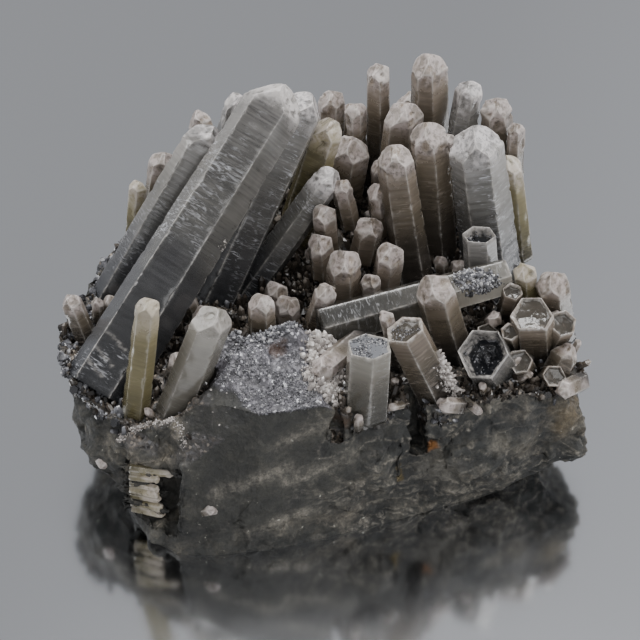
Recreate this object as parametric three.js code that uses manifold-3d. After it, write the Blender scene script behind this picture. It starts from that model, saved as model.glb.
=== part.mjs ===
// Morion quartz cluster
//
// A hand specimen of smoky quartz. A broken block of dark host rock, cut flat below, carries a
// bowl of quartz: one great crystal lying back to the left, long ones beside it, a thicket of
// upright ones at the back and right, a fallen bar across the hollow, and broken stubs on the rim.
//
// Units are millimetres. +Z is up, +X runs to the right along the broken front, and +Y away from it.
// Each standing crystal is one convex body, given by where it leaves the rock, its tip and its
// width. Its foot goes on into the rock, in a socket that is CLEARANCE wider all round.

import * as THREE from "three";
import { ConvexGeometry } from "three/addons/geometries/ConvexGeometry.js";
import { mergeVertices } from "three/addons/utils/BufferGeometryUtils.js";
import Module from "manifold-3d";

const wasm = await Module();
wasm.setup();

// ---------------------------------------------------------------- driving dimensions
const CLEARANCE = 0.3; // gap between a crystal and its socket
const FOOT_DEPTH = 4; // how far a crystal goes on below the rock's surface
const TIP_SLOPE = THREE.MathUtils.degToRad(51.8); // quartz: tip faces lean this far from level
const PRISM_TAPER = THREE.MathUtils.degToRad(0.7); // quartz prisms narrow a little to the tip
const UNEVEN = 0.13; // spread of the six prism faces' distances from the axis
const WALL_AROUND = 44; // points round the host rock
const WALL_STEPS = [0.18, 0.38, 0.6, 0.82, 1]; // rows of the wall, as shares of its height
const TOP_STEPS = [0.9, 0.74, 0.52, 0.26]; // rings of the upper side
const ROUGHNESS_OF_ROCK = 0.8; // random step of the broken surface

// Outlines of the host rock, seen from above, anticlockwise from its front left corner: where it
// stands, at two fifths of its height, and at its rim. The left side and right corner overhang.
const FLOOR_OUTLINE = [
  [-26, -45], [-9, -42.5], [3, -38.5], [17, -33.5], [37, -25], [44, -20], [45, -6],
  [39, 12], [33, 33], [14, 41], [-12, 41], [-31, 31], [-39, 12], [-40, -10], [-39, -31], [-33, -42],
];
const MIDDLE_OUTLINE = [
  [-26, -43.5], [-12, -41.5], [4, -39], [19, -33], [40, -29.5], [58, -24], [53, -9],
  [44, 4], [40, 34], [15, 44], [-13, 44], [-35, 34], [-45, 14], [-50, -12], [-47.5, -28], [-38, -37],
];
const RIM_OUTLINE = [
  [-25, -36.5], [-10, -39.5], [5, -37.5], [20, -31], [37, -29], [51, -22], [50.5, -9],
  [43, 3], [41.5, 36], [16, 46], [-14, 46], [-36, 36], [-46, 15], [-54, -10], [-49, -26], [-36, -34],
];

// High and low spots of the upper side: the shelf at the front left, the hollow in the middle
// and the crust that rises behind it.
const GROUND = [
  [-48, -18, 27], [-38, -30, 23], [-30, -31, 26], [-22, -31, 35], [-9, -38, 33], [-16, -24, 38],
  [-5, -21, 38], [-2, -34, 34], [8, -34, 30], [24, -28, 28], [36, -25, 28], [47, -20, 25], [48, -9, 29],
  [36, 4, 30], [40, 24, 32], [34, 38, 33], [14, 44, 33], [-12, 44, 33], [-32, 34, 32], [-44, 12, 29],
  [-28, -12, 26], [-6, -9, 27], [8, 6, 23], [-14, 10, 23], [20, -8, 29], [8, 24, 25], [-12, 28, 28],
];

// ---------------------------------------------------------------- the crystals
// [name, [where it leaves the rock], [tip], width, turn in degrees, end, tint]
const STANDING = [
  ["great_crystal", [-43, -18.5, 26], [-6.8, 21, 70], 12, 0, "point", "smoky"],
  ["great_companion", [-22, 9, 25], [-2, 28, 63], 8.6, 40, "point", "smoky"],
  ["left_long_crystal", [-42, 7, 28], [-22, 20, 60], 8, 20, "point", "smoky"],
  ["left_dark_crystal", [-24, 31, 31], [-16.5, 29, 62], 5.2, 10, "point", "smoky"],
  ["left_small_crystal", [-40, 21, 30], [-38.2, 20.5, 46], 3.4, 0, "point", "amber"],
  ["leaning_crystal", [-15, 14, 23], [3, 20, 49.5], 6.4, 25, "point", "smoky"],
  ["olive_crystal", [-6, 25, 27], [2.5, 27, 57], 6.2, 5, "point", "amber"],
  ["amber_crystal", [-36.5, -28, 24], [-32.5, -28, 52], 4.4, 15, "point", "amber"],
  ["blunt_crystal", [-27.5, -29, 27], [-19.5, -28.5, 50], 7, 30, "point", "pale"],
  ["right_great_crystal", [36, 11, 30], [31, 16, 62.5], 10.4, 30, "point", "smoky"],
  ["right_tall_crystal", [25, 19, 28], [22, 21.5, 60], 7.4, 12, "point", "brown"],
  ["right_leaning_crystal", [20, 10, 27], [15, 16, 58], 7, 26, "point", "brown"],
  ["right_edge_crystal", [42, 20, 31], [39, 21, 52], 5.4, 8, "point", "amber"],
  ["back_middle_crystal", [24, 39, 33], [23, 38.5, 66], 7.4, 18, "point", "brown"],
  ["back_left_tall_crystal", [13, 42, 33], [12.5, 41, 62], 5.4, 0, "point", "brown"],
  ["back_low_crystal", [16, 33, 30], [18, 32, 58], 7.4, 24, "point", "brown"],
  ["back_wide_crystal", [4, 33, 29], [6.8, 31, 50], 7.4, 9, "point", "brown"],
  ["back_left_crystal", [2, 42, 33], [2.5, 41.5, 55], 5.6, 21, "point", "brown"],
  ["back_left_thin_crystal", [8, 38.5, 32], [7.8, 36.5, 55], 3.8, 33, "point", "brown"],
  ["back_slanted_crystal", [28, 31.5, 32], [31.8, 37, 60.5], 5.8, 14, "point", "smoky"],
  ["back_right_crystal", [40, 34, 33], [37, 31, 59.5], 6.2, 28, "point", "brown"],
  ["back_thin_crystal", [28, 25, 30], [27, 28, 53], 3.2, 6, "point", "brown"],
  ["back_corner_crystal", [41.5, 28, 32], [41, 27, 56], 3.6, 17, "point", "brown"],
  ["back_short_crystal", [14, 27, 28], [13, 26.5, 47], 4.4, 12, "point", "brown"],
  ["bar_post_crystal", [26.5, -14.5, 29], [21.8, -17, 49], 6.6, 20, "point", "brown"],
  ["rim_silver_stub", [9, -32, 31], [9.5, -31, 42.5], 7.4, 6, "broken", "pale"],
  ["rim_olive_stub", [23, -26.5, 28], [16.5, -27.5, 44], 7, 2, "broken", "brown"],
  ["rim_dark_stub", [34.7, -19.8, 28], [31.9, -26.2, 36.5], 8.7, 12, "broken", "smoky"],
  ["rim_right_stub", [43.5, -11.5, 28], [42, -16, 39], 7.8, 24, "broken", "brown"],
  ["rim_thin_needle", [15.5, -21, 31], [12.5, -24.5, 46], 2.6, 10, "point", "brown"],
  ["right_rim_crystal", [48.5, -5.5, 28], [46.2, -8, 43], 5.6, 16, "point", "brown"],
  ["right_rim_pair", [42.4, -3, 29], [41, -6, 43.5], 4.6, 4, "point", "amber"],
  ["right_rim_wedge", [47.5, -19, 26], [50, -17, 32], 4.6, 30, "point", "brown"],
  ["hollow_front_crystal", [-11.5, -15, 33], [-11.5, -15.5, 43.5], 4.4, 14, "point", "brown"],
  ["left_front_chip", [-48, -8, 27], [-51, -7, 37], 3.8, 3, "point", "brown"],
  ["left_back_crystal", [-36, 26, 31], [-33, 27, 49], 5, 21, "point", "brown"],
  ["left_middle_crystal", [-24, -9, 26], [-23, -12, 37], 4.4, 8, "point", "brown"],
  ["right_broken_crystal", [34, 2, 30], [32.5, 2.2, 45], 5.6, 18, "broken", "smoky"],
  ["back_far_left_crystal", [-13, 38, 32], [-14, 40, 53], 6, 8, "point", "brown"],
  ["back_outer_crystal", [-22, 40, 32], [-27, 46, 47], 5, 19, "point", "brown"],
  ["back_outer_short_crystal", [7, 45, 32], [6.5, 51, 46], 4, 25, "point", "brown"],
  ["back_outer_leaning_crystal", [18.5, 44, 32], [20, 51, 49], 5, 11, "point", "brown"],
];

// The bar lies clear across the hollow: [left end], [right end], width.
const FALLEN_BAR = { left: [2, -14.8, 35.5], right: [37.5, -3.4, 39], width: 7.2, turn: 28 };

// Crystals of the hollow, grown together on one crust: [foot], [tip], width, turn.
const HOLLOW = [
  [[-2, -8, 26], [1.5, -12, 43], 4.4, 10],
  [[5, 2, 24], [5, -2, 44], 6.6, 25],
  [[13, 5, 25], [14.5, 0, 44], 5.4, 5],
  [[10, 0, 25], [10.5, -3.5, 39], 3.8, 18],
  [[8, 15, 24], [10.5, 11.5, 42.5], 5.4, 33],
  [[1, 11, 23], [0, 7.5, 41], 5.4, 12],
  [[2, 17, 24], [0.5, 12.5, 45], 4.8, 0],
  [[8, 21, 26], [4, 17.5, 48], 4.2, 28],
  [[14, 20, 27], [12, 17.5, 47], 5, 8],
  [[-7, -2, 25], [-6.5, -6.5, 35], 4.4, 22],
  [[-11, 3, 24], [-8.5, 0, 34], 3.8, 14],
];
// The crust itself is a lens of quartz, half sunk in the rock.
const HOLLOW_CRUST = { at: [4, 7, 24.2], size: [34, 32, 5] };

// Small crystals that are one with the rock, in patches round the hollow and on the rim.
const PATCHES = [
  { centre: [-42, -3], spread: [9, 14], count: 13, size: [2.4, 4.4] },
  { centre: [-29, 24], spread: [13, 14], count: 15, size: [2.6, 4.8] },
  { centre: [-5, 38], spread: [12, 7], count: 10, size: [2.6, 4.8] },
  { centre: [27, 8], spread: [9, 8], count: 8, size: [2.4, 4.2] },
  { centre: [39, 12], spread: [5, 16], count: 8, size: [2.2, 4] },
  { centre: [28, 36], spread: [12, 8], count: 10, size: [2.4, 4.6] },
  { centre: [22, -20], spread: [18, 8], count: 12, size: [2, 3.6] },
  { centre: [45, -13], spread: [6, 10], count: 9, size: [2.2, 4] },
  { centre: [-20, -10], spread: [13, 10], count: 13, size: [2.2, 4] },
  { centre: [-43, -23], spread: [7, 6], count: 5, size: [2, 3.6] },
];
const DRUSE_STANCE = { sunk: 0.6, taller: [1.1, 2.6], outward: 0.03, lean: 2.5 };

// Breaks in the wall. The pockets are cut in as wedges, the chips are broken out and the lumps
// stand out, both as angular blocks.
const NICHE = { at: [-33, -38.5, 10.5], size: [10, 10, 14], turn: -18 };
const CRACK = { at: [19, -30, 24], size: [3.4, 12, 16], turn: 14 };
const SIDE_CRACK = { at: [3.5, -38.5, 28.5], size: [2.2, 7, 8], turn: 10 };
const SHELF_BREAK = { at: [-8, -17, 36], size: [17, 6, 8], turn: 8 };
const CHIPS = [
  { at: [-29, -42, 25], size: [8, 11, 20], turn: 24 },
  { at: [50, -26, 1], size: [26, 13, 15], turn: 24 },
  { at: [-54, -22, 7], size: [14, 20, 16], turn: 18 },
  { at: [-48, 23, 12], size: [18, 20, 17], turn: -24 },
  { at: [-18, 48, 5], size: [32, 15, 15], turn: 14 },
  { at: [24, 49, 22], size: [22, 14, 15], turn: -10 },
  { at: [47, 24, 20], size: [15, 24, 16], turn: 6 },
  { at: [-38, 42, 27], size: [20, 15, 16], turn: 38 },
];
const LUMPS = [
  { at: [32, -27, 14], size: [22, 10, 19], turn: 30 },
  { at: [9, -33.5, 15], size: [17, 12, 20], turn: 8 },
  { at: [-13, -38, 8], size: [22, 11, 17], turn: 6 },
  { at: [-45, -2, 17], size: [13, 23, 18], turn: 8 },
  { at: [-35, 28, 17], size: [22, 16, 24], turn: 40 },
  { at: [-2, 40, 18], size: [25, 13, 23], turn: -4 },
  { at: [34, 31, 13], size: [17, 20, 24], turn: -34 },
  { at: [43, 0, 16], size: [13, 18, 20], turn: -20 },
];
const BOSS = { at: [-33, -32.5, 20.5], size: [17, 10, 6] };
const NEEDLES = { count: 7, length: 6.4, width: 1.3 };

const QUARTZ = { smoky: "#4d4a4b", brown: "#6b5d4c", amber: "#8a7f5c", pale: "#8b8c8f" };
const HOST_ROCK = "#3d3e3a";

// ---------------------------------------------------------------- helpers
const UP = new THREE.Vector3(0, 0, 1);
const GOLDEN_ANGLE = Math.PI * (3 - Math.sqrt(5));
const LUMP_CORNERS = 13;
const SAW_BLOCK = 300; // wider than the rock

/** A repeatable number from 0 to 1 for two whole numbers. */
function spread(a, b) {
  const wave = Math.sin(a * 12.9898 + b * 78.233 + 4.1) * 43758.5453;
  return wave - Math.floor(wave);
}

/** A closed three.js geometry as a manifold solid. */
function solidOf(geometry) {
  const bare = geometry.clone();
  bare.deleteAttribute("normal");
  bare.deleteAttribute("uv");
  const merged = mergeVertices(bare, 1e-4);
  const mesh = new wasm.Mesh({
    numProp: 3,
    vertProperties: new Float32Array(merged.attributes.position.array),
    triVerts: new Uint32Array(merged.index.array),
  });
  return new wasm.Manifold(mesh);
}

/** A manifold solid as a three.js geometry. */
function geometryOf(solid) {
  const mesh = solid.getMesh();
  const geometry = new THREE.BufferGeometry();
  geometry.setAttribute("position", new THREE.BufferAttribute(new Float32Array(mesh.vertProperties), 3));
  geometry.setIndex(new THREE.BufferAttribute(new Uint32Array(mesh.triVerts), 1));
  geometry.computeVertexNormals();
  return geometry;
}

/** Corners of the convex body that a list of planes {normal, distance} closes. */
function cornersOf(planes) {
  const corners = [];
  for (let i = 0; i < planes.length; i += 1) {
    for (let j = i + 1; j < planes.length; j += 1) {
      for (let k = j + 1; k < planes.length; k += 1) {
        const corner = meetingPoint(planes[i], planes[j], planes[k]);
        if (corner && planes.every((plane) => plane.normal.dot(corner) < plane.distance + 1e-4)) {
          corners.push(corner);
        }
      }
    }
  }
  return corners;
}

/** The point where three planes meet, or null where two of them are nearly parallel. */
function meetingPoint(a, b, c) {
  const bc = new THREE.Vector3().crossVectors(b.normal, c.normal);
  const volume = a.normal.dot(bc);
  if (Math.abs(volume) < 1e-5) {
    return null;
  }
  const ca = new THREE.Vector3().crossVectors(c.normal, a.normal);
  const ab = new THREE.Vector3().crossVectors(a.normal, b.normal);
  return bc.multiplyScalar(a.distance)
    .addScaledVector(ca, b.distance)
    .addScaledVector(ab, c.distance)
    .divideScalar(volume);
}

/** A point on the way from `start` by `length` along `direction`. */
function along(start, direction, length) {
  return start.clone().addScaledVector(direction, length);
}

// ---------------------------------------------------------------- one quartz crystal
/**
 * The planes of one quartz crystal: six prism faces, a flat foot, and six tip faces or a break.
 * Three of the tip faces reach the tip. The other three lie a little further out and stay small,
 * and a "simple" end has none of them.
 */
function crystalPlanes({ foot, tip, width, turn, end = "point", depth = FOOT_DEPTH, seed }) {
  const start = new THREE.Vector3(...foot);
  const apex = new THREE.Vector3(...tip);
  const axis = apex.clone().sub(start).normalize();
  const across = new THREE.Vector3().crossVectors(axis, new THREE.Vector3(0, 1, 0)).normalize();
  across.applyAxisAngle(axis, THREE.MathUtils.degToRad(turn));
  const planes = [];
  const addPlane = (normal, point) => planes.push({ normal, distance: normal.dot(point) });
  addPlane(axis.clone().negate(), along(start, axis, -depth));
  for (let i = 0; i < 6; i += 1) {
    const outward = across.clone().applyAxisAngle(axis, (i * Math.PI) / 3);
    const reach = (width / 2) * (1 + UNEVEN * (2 * spread(seed, i) - 1));
    const wall = outward.clone().multiplyScalar(Math.cos(PRISM_TAPER))
      .addScaledVector(axis, Math.sin(PRISM_TAPER)).normalize();
    addPlane(wall, along(start, outward, reach));
    if (end === "point" || (end === "simple" && i % 2 === 0)) {
      const slope = axis.clone().multiplyScalar(Math.cos(TIP_SLOPE))
        .addScaledVector(outward, Math.sin(TIP_SLOPE));
      const further = i % 2 === 0 ? 0.03 : 0.1 + 0.1 * spread(seed, i + 7);
      addPlane(slope, along(apex, slope, further * width * (i === 0 ? 0 : 1)));
    }
  }
  if (end === "broken") {
    const tilt = 0.16 * (spread(seed, 20) - 0.5);
    addPlane(axis.clone().addScaledVector(across, tilt).normalize(), apex);
  }
  return planes;
}

/** The closed solid inside a list of planes, each moved outwards by `grow`. */
function solidInside(planes, grow = 0) {
  const moved = planes.map(({ normal, distance }) => ({ normal, distance: distance + grow }));
  return solidOf(new ConvexGeometry(cornersOf(moved)));
}

/** A six-sided pit in the broken end of a stub, which leaves a raised rim. */
function endPit({ foot, tip, width, turn, seed }) {
  const start = new THREE.Vector3(...foot);
  const apex = new THREE.Vector3(...tip);
  const axis = apex.clone().sub(start).normalize();
  const bottom = along(apex, axis, -0.16 * width);
  const pit = crystalPlanes({
    foot: bottom.toArray(),
    tip: along(apex, axis, width).toArray(),
    width: 0.66 * width,
    turn,
    end: "broken",
    depth: 0,
    seed,
  });
  return solidInside(pit);
}

// ---------------------------------------------------------------- the host rock
/** How far an outline reaches from the middle in the direction `angle`. */
function reachOf(outline, angle) {
  const dx = Math.cos(angle);
  const dy = Math.sin(angle);
  for (let i = 0; i < outline.length; i += 1) {
    const [ax, ay] = outline[i];
    const [bx, by] = outline[(i + 1) % outline.length];
    const [ex, ey] = [bx - ax, by - ay];
    const cross = dx * ey - dy * ex;
    const reach = (ax * ey - ay * ex) / cross;
    const share = (ax * dy - ay * dx) / cross;
    if (reach > 0 && share >= 0 && share < 1) {
      return reach;
    }
  }
  throw new Error("the outline doesn't close round the middle");
}

/** Height of the upper side: each high or low spot pulls on what lies near it. */
function groundHeight(x, y) {
  let pull = 0;
  let sum = 0;
  for (const [sx, sy, sz] of GROUND) {
    const weight = 1 / (((x - sx) ** 2 + (y - sy) ** 2) ** 1.7 + 2);
    pull += weight;
    sum += weight * sz;
  }
  return sum / pull;
}

/** The reach of the rock at `angle` and at a share of the height of its wall. */
function wallReach(angle, share) {
  const floor = reachOf(FLOOR_OUTLINE, angle);
  const middle = reachOf(MIDDLE_OUTLINE, angle);
  const rim = reachOf(RIM_OUTLINE, angle);
  const bend = 0.4;
  return share < bend
    ? THREE.MathUtils.lerp(floor, middle, share / bend)
    : THREE.MathUtils.lerp(middle, rim, (share - bend) / (1 - bend));
}

/** The block of rock as one closed surface: floor, wall and upper side, ring by ring. */
function rockGeometry() {
  const points = [[0, 0, 0]];
  const rings = [];
  const addRing = (pointAt) => {
    rings.push(points.length);
    for (let i = 0; i < WALL_AROUND; i += 1) {
      points.push(pointAt((i * 2 * Math.PI) / WALL_AROUND, i));
    }
  };
  const jolt = (i, row) => ROUGHNESS_OF_ROCK * (2 * spread(i, row) - 1);
  addRing((angle) => polar(angle, wallReach(angle, 0), 0));
  WALL_STEPS.forEach((share, row) => addRing((angle, i) => {
    const [rx, ry] = polar(angle, reachOf(RIM_OUTLINE, angle), 0);
    const height = groundHeight(rx, ry);
    const level = share * height + (share < 1 ? jolt(i, row + 30) : 0);
    return polar(angle, wallReach(angle, share) + jolt(i, row), level);
  }));
  TOP_STEPS.forEach((share, row) => addRing((angle, i) => {
    const reach = share * reachOf(RIM_OUTLINE, angle) + jolt(i, row + 60) * share;
    const [x, y] = polar(angle, reach, 0);
    return [x, y, groundHeight(x, y) + 0.7 * jolt(i, row + 90)];
  }));
  points.push([0, 0, groundHeight(0, 0)]);
  return surfaceOf(points, rings);
}

/** A point at a distance from the middle, in a direction, at a height. */
function polar(angle, reach, height) {
  return [reach * Math.cos(angle), reach * Math.sin(angle), height];
}

/** Triangles over a first point, rings of WALL_AROUND points and a last point. */
function surfaceOf(points, rings) {
  const faces = [];
  const last = points.length - 1;
  for (let i = 0; i < WALL_AROUND; i += 1) {
    const next = (i + 1) % WALL_AROUND;
    faces.push(0, rings[0] + next, rings[0] + i);
    faces.push(last, rings[rings.length - 1] + i, rings[rings.length - 1] + next);
    for (let row = 0; row + 1 < rings.length; row += 1) {
      const [low, high] = [rings[row], rings[row + 1]];
      faces.push(low + i, low + next, high + next);
      faces.push(low + i, high + next, high + i);
    }
  }
  const geometry = new THREE.BufferGeometry();
  geometry.setAttribute("position", new THREE.Float32BufferAttribute(points.flat(), 3));
  geometry.setIndex(faces);
  return geometry;
}

/** A rough block: a box with its corners pushed about, turned round Z. */
function wedge({ at, size, turn }, seed) {
  const corners = [];
  for (let i = 0; i < 8; i += 1) {
    const side = [i & 1 ? 0.5 : -0.5, i & 2 ? 0.5 : -0.5, i & 4 ? 0.5 : -0.5];
    corners.push(side.map((s, axis) => s * (0.8 + 0.35 * spread(seed + i, axis))));
  }
  return blockOf(corners, at, size, turn);
}

/** An angular lump: the hull of points spread evenly over a ball, some of them pushed in. */
function lump({ at, size, turn }, seed) {
  const corners = [];
  for (let i = 0; i < LUMP_CORNERS; i += 1) {
    const level = 1 - (2 * i + 1) / LUMP_CORNERS;
    const angle = GOLDEN_ANGLE * i + seed;
    const reach = 0.5 * (0.8 + 0.3 * spread(seed, i));
    const round = Math.sqrt(1 - level * level);
    corners.push([reach * round * Math.cos(angle), reach * round * Math.sin(angle), reach * level]);
  }
  return blockOf(corners, at, size, turn);
}

/** The hull of corners given as shares of a size, turned round Z and put in its place. */
function blockOf(corners, at, size, turn) {
  const placed = corners.map((corner) => {
    const point = new THREE.Vector3(...corner).multiply(new THREE.Vector3(...size));
    return point.applyAxisAngle(UP, THREE.MathUtils.degToRad(turn)).add(new THREE.Vector3(...at));
  });
  return solidOf(new ConvexGeometry(placed));
}

/** A rounded boss on the wall: a squashed icosahedron. */
function boss({ at, size }) {
  const shape = new THREE.IcosahedronGeometry(0.5, 1);
  shape.scale(...size);
  shape.translate(...at);
  return solidOf(shape);
}

/** Needle crystals that lie side by side across the niche. */
function needles() {
  const list = [];
  for (let i = 0; i < NEEDLES.count; i += 1) {
    const level = NICHE.at[2] + NICHE.size[2] * ((i + 0.5) / NEEDLES.count - 0.5) * 0.82;
    const left = NICHE.at[0] - NICHE.size[0] / 2 - 0.8;
    const length = NEEDLES.length * (0.8 + 0.4 * spread(i, 3));
    const back = NICHE.at[1] + 2.6 + 1.2 * spread(i, 4);
    list.push({
      foot: [left, back, level],
      tip: [left + length + 1.6, back - 2.2, level - 0.5],
      width: NEEDLES.width * (0.8 + 0.4 * spread(i, 5)),
      turn: 60 * spread(i, 6),
      end: "simple",
      depth: 1,
      seed: 300 + i,
    });
  }
  return list;
}

/** Small crystals in patches on the rock, clear of every standing crystal. */
function druse() {
  const list = [];
  PATCHES.forEach((patch, p) => {
    for (let i = 0; i < patch.count; i += 1) {
      const small = druseCrystal(patch, p, i);
      const [x, y] = small.foot;
      const inside = Math.hypot(x, y) < 0.93 * reachOf(RIM_OUTLINE, Math.atan2(y, x));
      if (inside && staysClear(small)) {
        list.push(small);
      }
    }
  });
  return list;
}

/** Settings of small crystal number `i` of patch number `p`. */
function druseCrystal({ centre, spread: reach, size }, p, i) {
  const { sunk, taller, outward, lean } = DRUSE_STANCE;
  const angle = 2 * Math.PI * spread(p, i);
  const share = Math.sqrt(spread(p + 20, i));
  const x = centre[0] + reach[0] * share * Math.cos(angle);
  const y = centre[1] + reach[1] * share * Math.sin(angle);
  const z = groundHeight(x, y) - sunk;
  const width = THREE.MathUtils.lerp(size[0], size[1], spread(p + 40, i) ** 1.6);
  const height = width * THREE.MathUtils.lerp(taller[0], taller[1], spread(p + 60, i));
  const leanX = lean * (2 * spread(p + 80, i) - 1) + outward * x;
  const leanY = lean * (2 * spread(p + 90, i) - 1) + outward * y;
  return {
    foot: [x, y, z],
    tip: [x + 0.14 * height * leanX, y + 0.14 * height * leanY, z + height],
    width,
    turn: 60 * spread(p, i + 50),
    end: "simple",
    depth: 2.4,
    seed: p * 50 + i,
  };
}

/** True where a small crystal stays clear of every standing one. */
function staysClear({ foot, tip, width }) {
  return crystals.every((crystal) => {
    const reach = (crystal.width + width) * 0.53 + 0.4;
    return segmentGap(foot, tip, crystal.foot, crystal.tip) > reach;
  });
}

/** The least distance from points along one straight piece to another. */
function segmentGap(start, end, otherStart, otherEnd) {
  const steps = 12;
  const from = new THREE.Vector3(...start);
  const to = new THREE.Vector3(...end);
  const other = new THREE.Line3(new THREE.Vector3(...otherStart), new THREE.Vector3(...otherEnd));
  const nearest = new THREE.Vector3();
  let least = Infinity;
  for (let i = 0; i <= steps; i += 1) {
    const point = from.clone().lerp(to, i / steps);
    other.closestPointToPoint(point, true, nearest);
    least = Math.min(least, nearest.distanceTo(point));
  }
  return least;
}

// ---------------------------------------------------------------- putting it together
const crystals = STANDING.map(([name, foot, tip, width, turn, end, tint], i) => ({
  name, foot, tip, width, turn, end, tint, seed: i + 1,
}));
crystals.push({
  name: "fallen_bar_crystal", foot: FALLEN_BAR.left, tip: FALLEN_BAR.right, width: FALLEN_BAR.width,
  turn: FALLEN_BAR.turn, end: "broken", tint: "pale", depth: 2, seed: 71,
});
const hollowCrystals = HOLLOW.map(([foot, tip, width, turn], i) => ({
  foot, tip, width, turn, end: "simple", depth: 2, seed: 200 + i,
}));

const cluster = new THREE.Group();

/** Adds one named sub-part. */
function addPart(name, solid, colour, roughness) {
  const material = new THREE.MeshStandardMaterial({ color: colour, roughness, metalness: 0 });
  const mesh = new THREE.Mesh(geometryOf(solid), material);
  mesh.name = name;
  cluster.add(mesh);
}

/** All that lies below the floor of the rock, for the flat cut that it stands on. */
function belowFloor() {
  const block = new THREE.BoxGeometry(SAW_BLOCK, SAW_BLOCK, SAW_BLOCK);
  block.translate(0, 0, -SAW_BLOCK / 2);
  return solidOf(block);
}

/** The lens of quartz under the hollow's crystals. */
function hollowLens(grow = 0) {
  const shape = new THREE.IcosahedronGeometry(0.5, 1);
  shape.scale(...HOLLOW_CRUST.size.map((side) => side + 2 * grow));
  shape.translate(...HOLLOW_CRUST.at);
  return solidOf(shape);
}

/** The host rock: block, breaks, small crystals, and a socket for every crystal and the crust. */
function hostRock() {
  let rock = solidOf(rockGeometry()).add(boss(BOSS));
  LUMPS.forEach((settings, i) => {
    rock = rock.add(lump(settings, 101 + i));
  });
  CHIPS.forEach((settings, i) => {
    rock = rock.subtract(lump(settings, 41 + i));
  });
  [NICHE, CRACK, SIDE_CRACK, SHELF_BREAK].forEach((pocket, i) => {
    rock = rock.subtract(wedge(pocket, 11 + 12 * i));
  });
  for (const small of [...needles(), ...druse()]) {
    rock = rock.add(solidInside(crystalPlanes(small)));
  }
  rock = rock.subtract(belowFloor()).subtract(hollowLens(CLEARANCE));
  for (const crystal of [...crystals, ...hollowCrystals]) {
    rock = rock.subtract(solidInside(crystalPlanes(crystal), CLEARANCE));
  }
  return rock;
}

/** The hollow's crust with its crystals, clear of the standing crystals. */
function hollowDruse() {
  let crust = hollowLens();
  for (const crystal of hollowCrystals) {
    crust = crust.add(solidInside(crystalPlanes(crystal)));
  }
  for (const crystal of crystals) {
    crust = crust.subtract(solidInside(crystalPlanes(crystal), CLEARANCE));
  }
  return crust;
}

/** One standing or lying crystal. */
function crystalSolid(crystal) {
  const body = solidInside(crystalPlanes(crystal));
  return crystal.end === "broken" ? body.subtract(endPit(crystal)) : body;
}

addPart("matrix", hostRock(), HOST_ROCK, 0.75);
addPart("hollow_crystals", hollowDruse(), QUARTZ.brown, 0.3);
for (const crystal of crystals) {
  addPart(crystal.name, crystalSolid(crystal), QUARTZ[crystal.tint], 0.25);
}

// The cluster stands on its flat cut, with the middle of its outline over the origin.
const extent = new THREE.Box3().setFromObject(cluster);
const middle = extent.getCenter(new THREE.Vector3());
cluster.position.set(-middle.x, -middle.y, -extent.min.z);

export default cluster;
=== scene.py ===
# %% [markdown]
# # Morion quartz cluster
# A hand specimen: a broken block of dark host rock with a bowl of smoky quartz crystals.
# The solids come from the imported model. This file gives them the surfaces of the real minerals:
# flat glassy crystal faces with worn edges and frosted tips, broken rock, and thousands of
# small crystals, called druse, that cover the rock wherever it was open.

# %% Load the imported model
import math
from functools import partial

import bpy
import numpy as np
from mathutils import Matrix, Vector


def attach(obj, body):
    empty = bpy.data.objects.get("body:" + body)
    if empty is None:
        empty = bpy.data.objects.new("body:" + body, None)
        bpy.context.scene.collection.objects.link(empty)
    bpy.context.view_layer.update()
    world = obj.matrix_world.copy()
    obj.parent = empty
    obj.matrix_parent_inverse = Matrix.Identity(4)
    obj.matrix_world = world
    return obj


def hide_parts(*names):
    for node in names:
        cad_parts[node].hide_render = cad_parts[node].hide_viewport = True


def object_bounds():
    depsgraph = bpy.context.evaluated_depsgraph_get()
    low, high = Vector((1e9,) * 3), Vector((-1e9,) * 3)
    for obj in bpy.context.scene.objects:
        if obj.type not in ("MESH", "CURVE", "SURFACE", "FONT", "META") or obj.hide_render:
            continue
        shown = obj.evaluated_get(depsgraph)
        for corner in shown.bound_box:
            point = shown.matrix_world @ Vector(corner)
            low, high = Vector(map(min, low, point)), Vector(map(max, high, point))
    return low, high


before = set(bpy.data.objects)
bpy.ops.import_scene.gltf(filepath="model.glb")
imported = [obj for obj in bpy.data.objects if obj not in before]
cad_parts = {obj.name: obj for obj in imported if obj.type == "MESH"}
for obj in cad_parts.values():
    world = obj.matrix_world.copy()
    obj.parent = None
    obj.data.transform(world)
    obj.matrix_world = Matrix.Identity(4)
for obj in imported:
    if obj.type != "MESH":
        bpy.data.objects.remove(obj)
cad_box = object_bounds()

MM = 0.001  # the scene is in metres, and the sizes below are in millimetres
print("nodes:", len(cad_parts), "box in mm:", [[round(c / MM, 1) for c in p] for p in cad_box])

# %% [markdown]
# ## Helpers for meshes, colours and nodes
# Every new surface is worked out as whole arrays of points, so one helper turns points and
# triangles into a mesh. Colours are written as they look on a screen and turned to linear light,
# because that is what the renderer mixes. One helper adds every kind of shader node, so that a
# finish reads as a list of steps.

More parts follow.
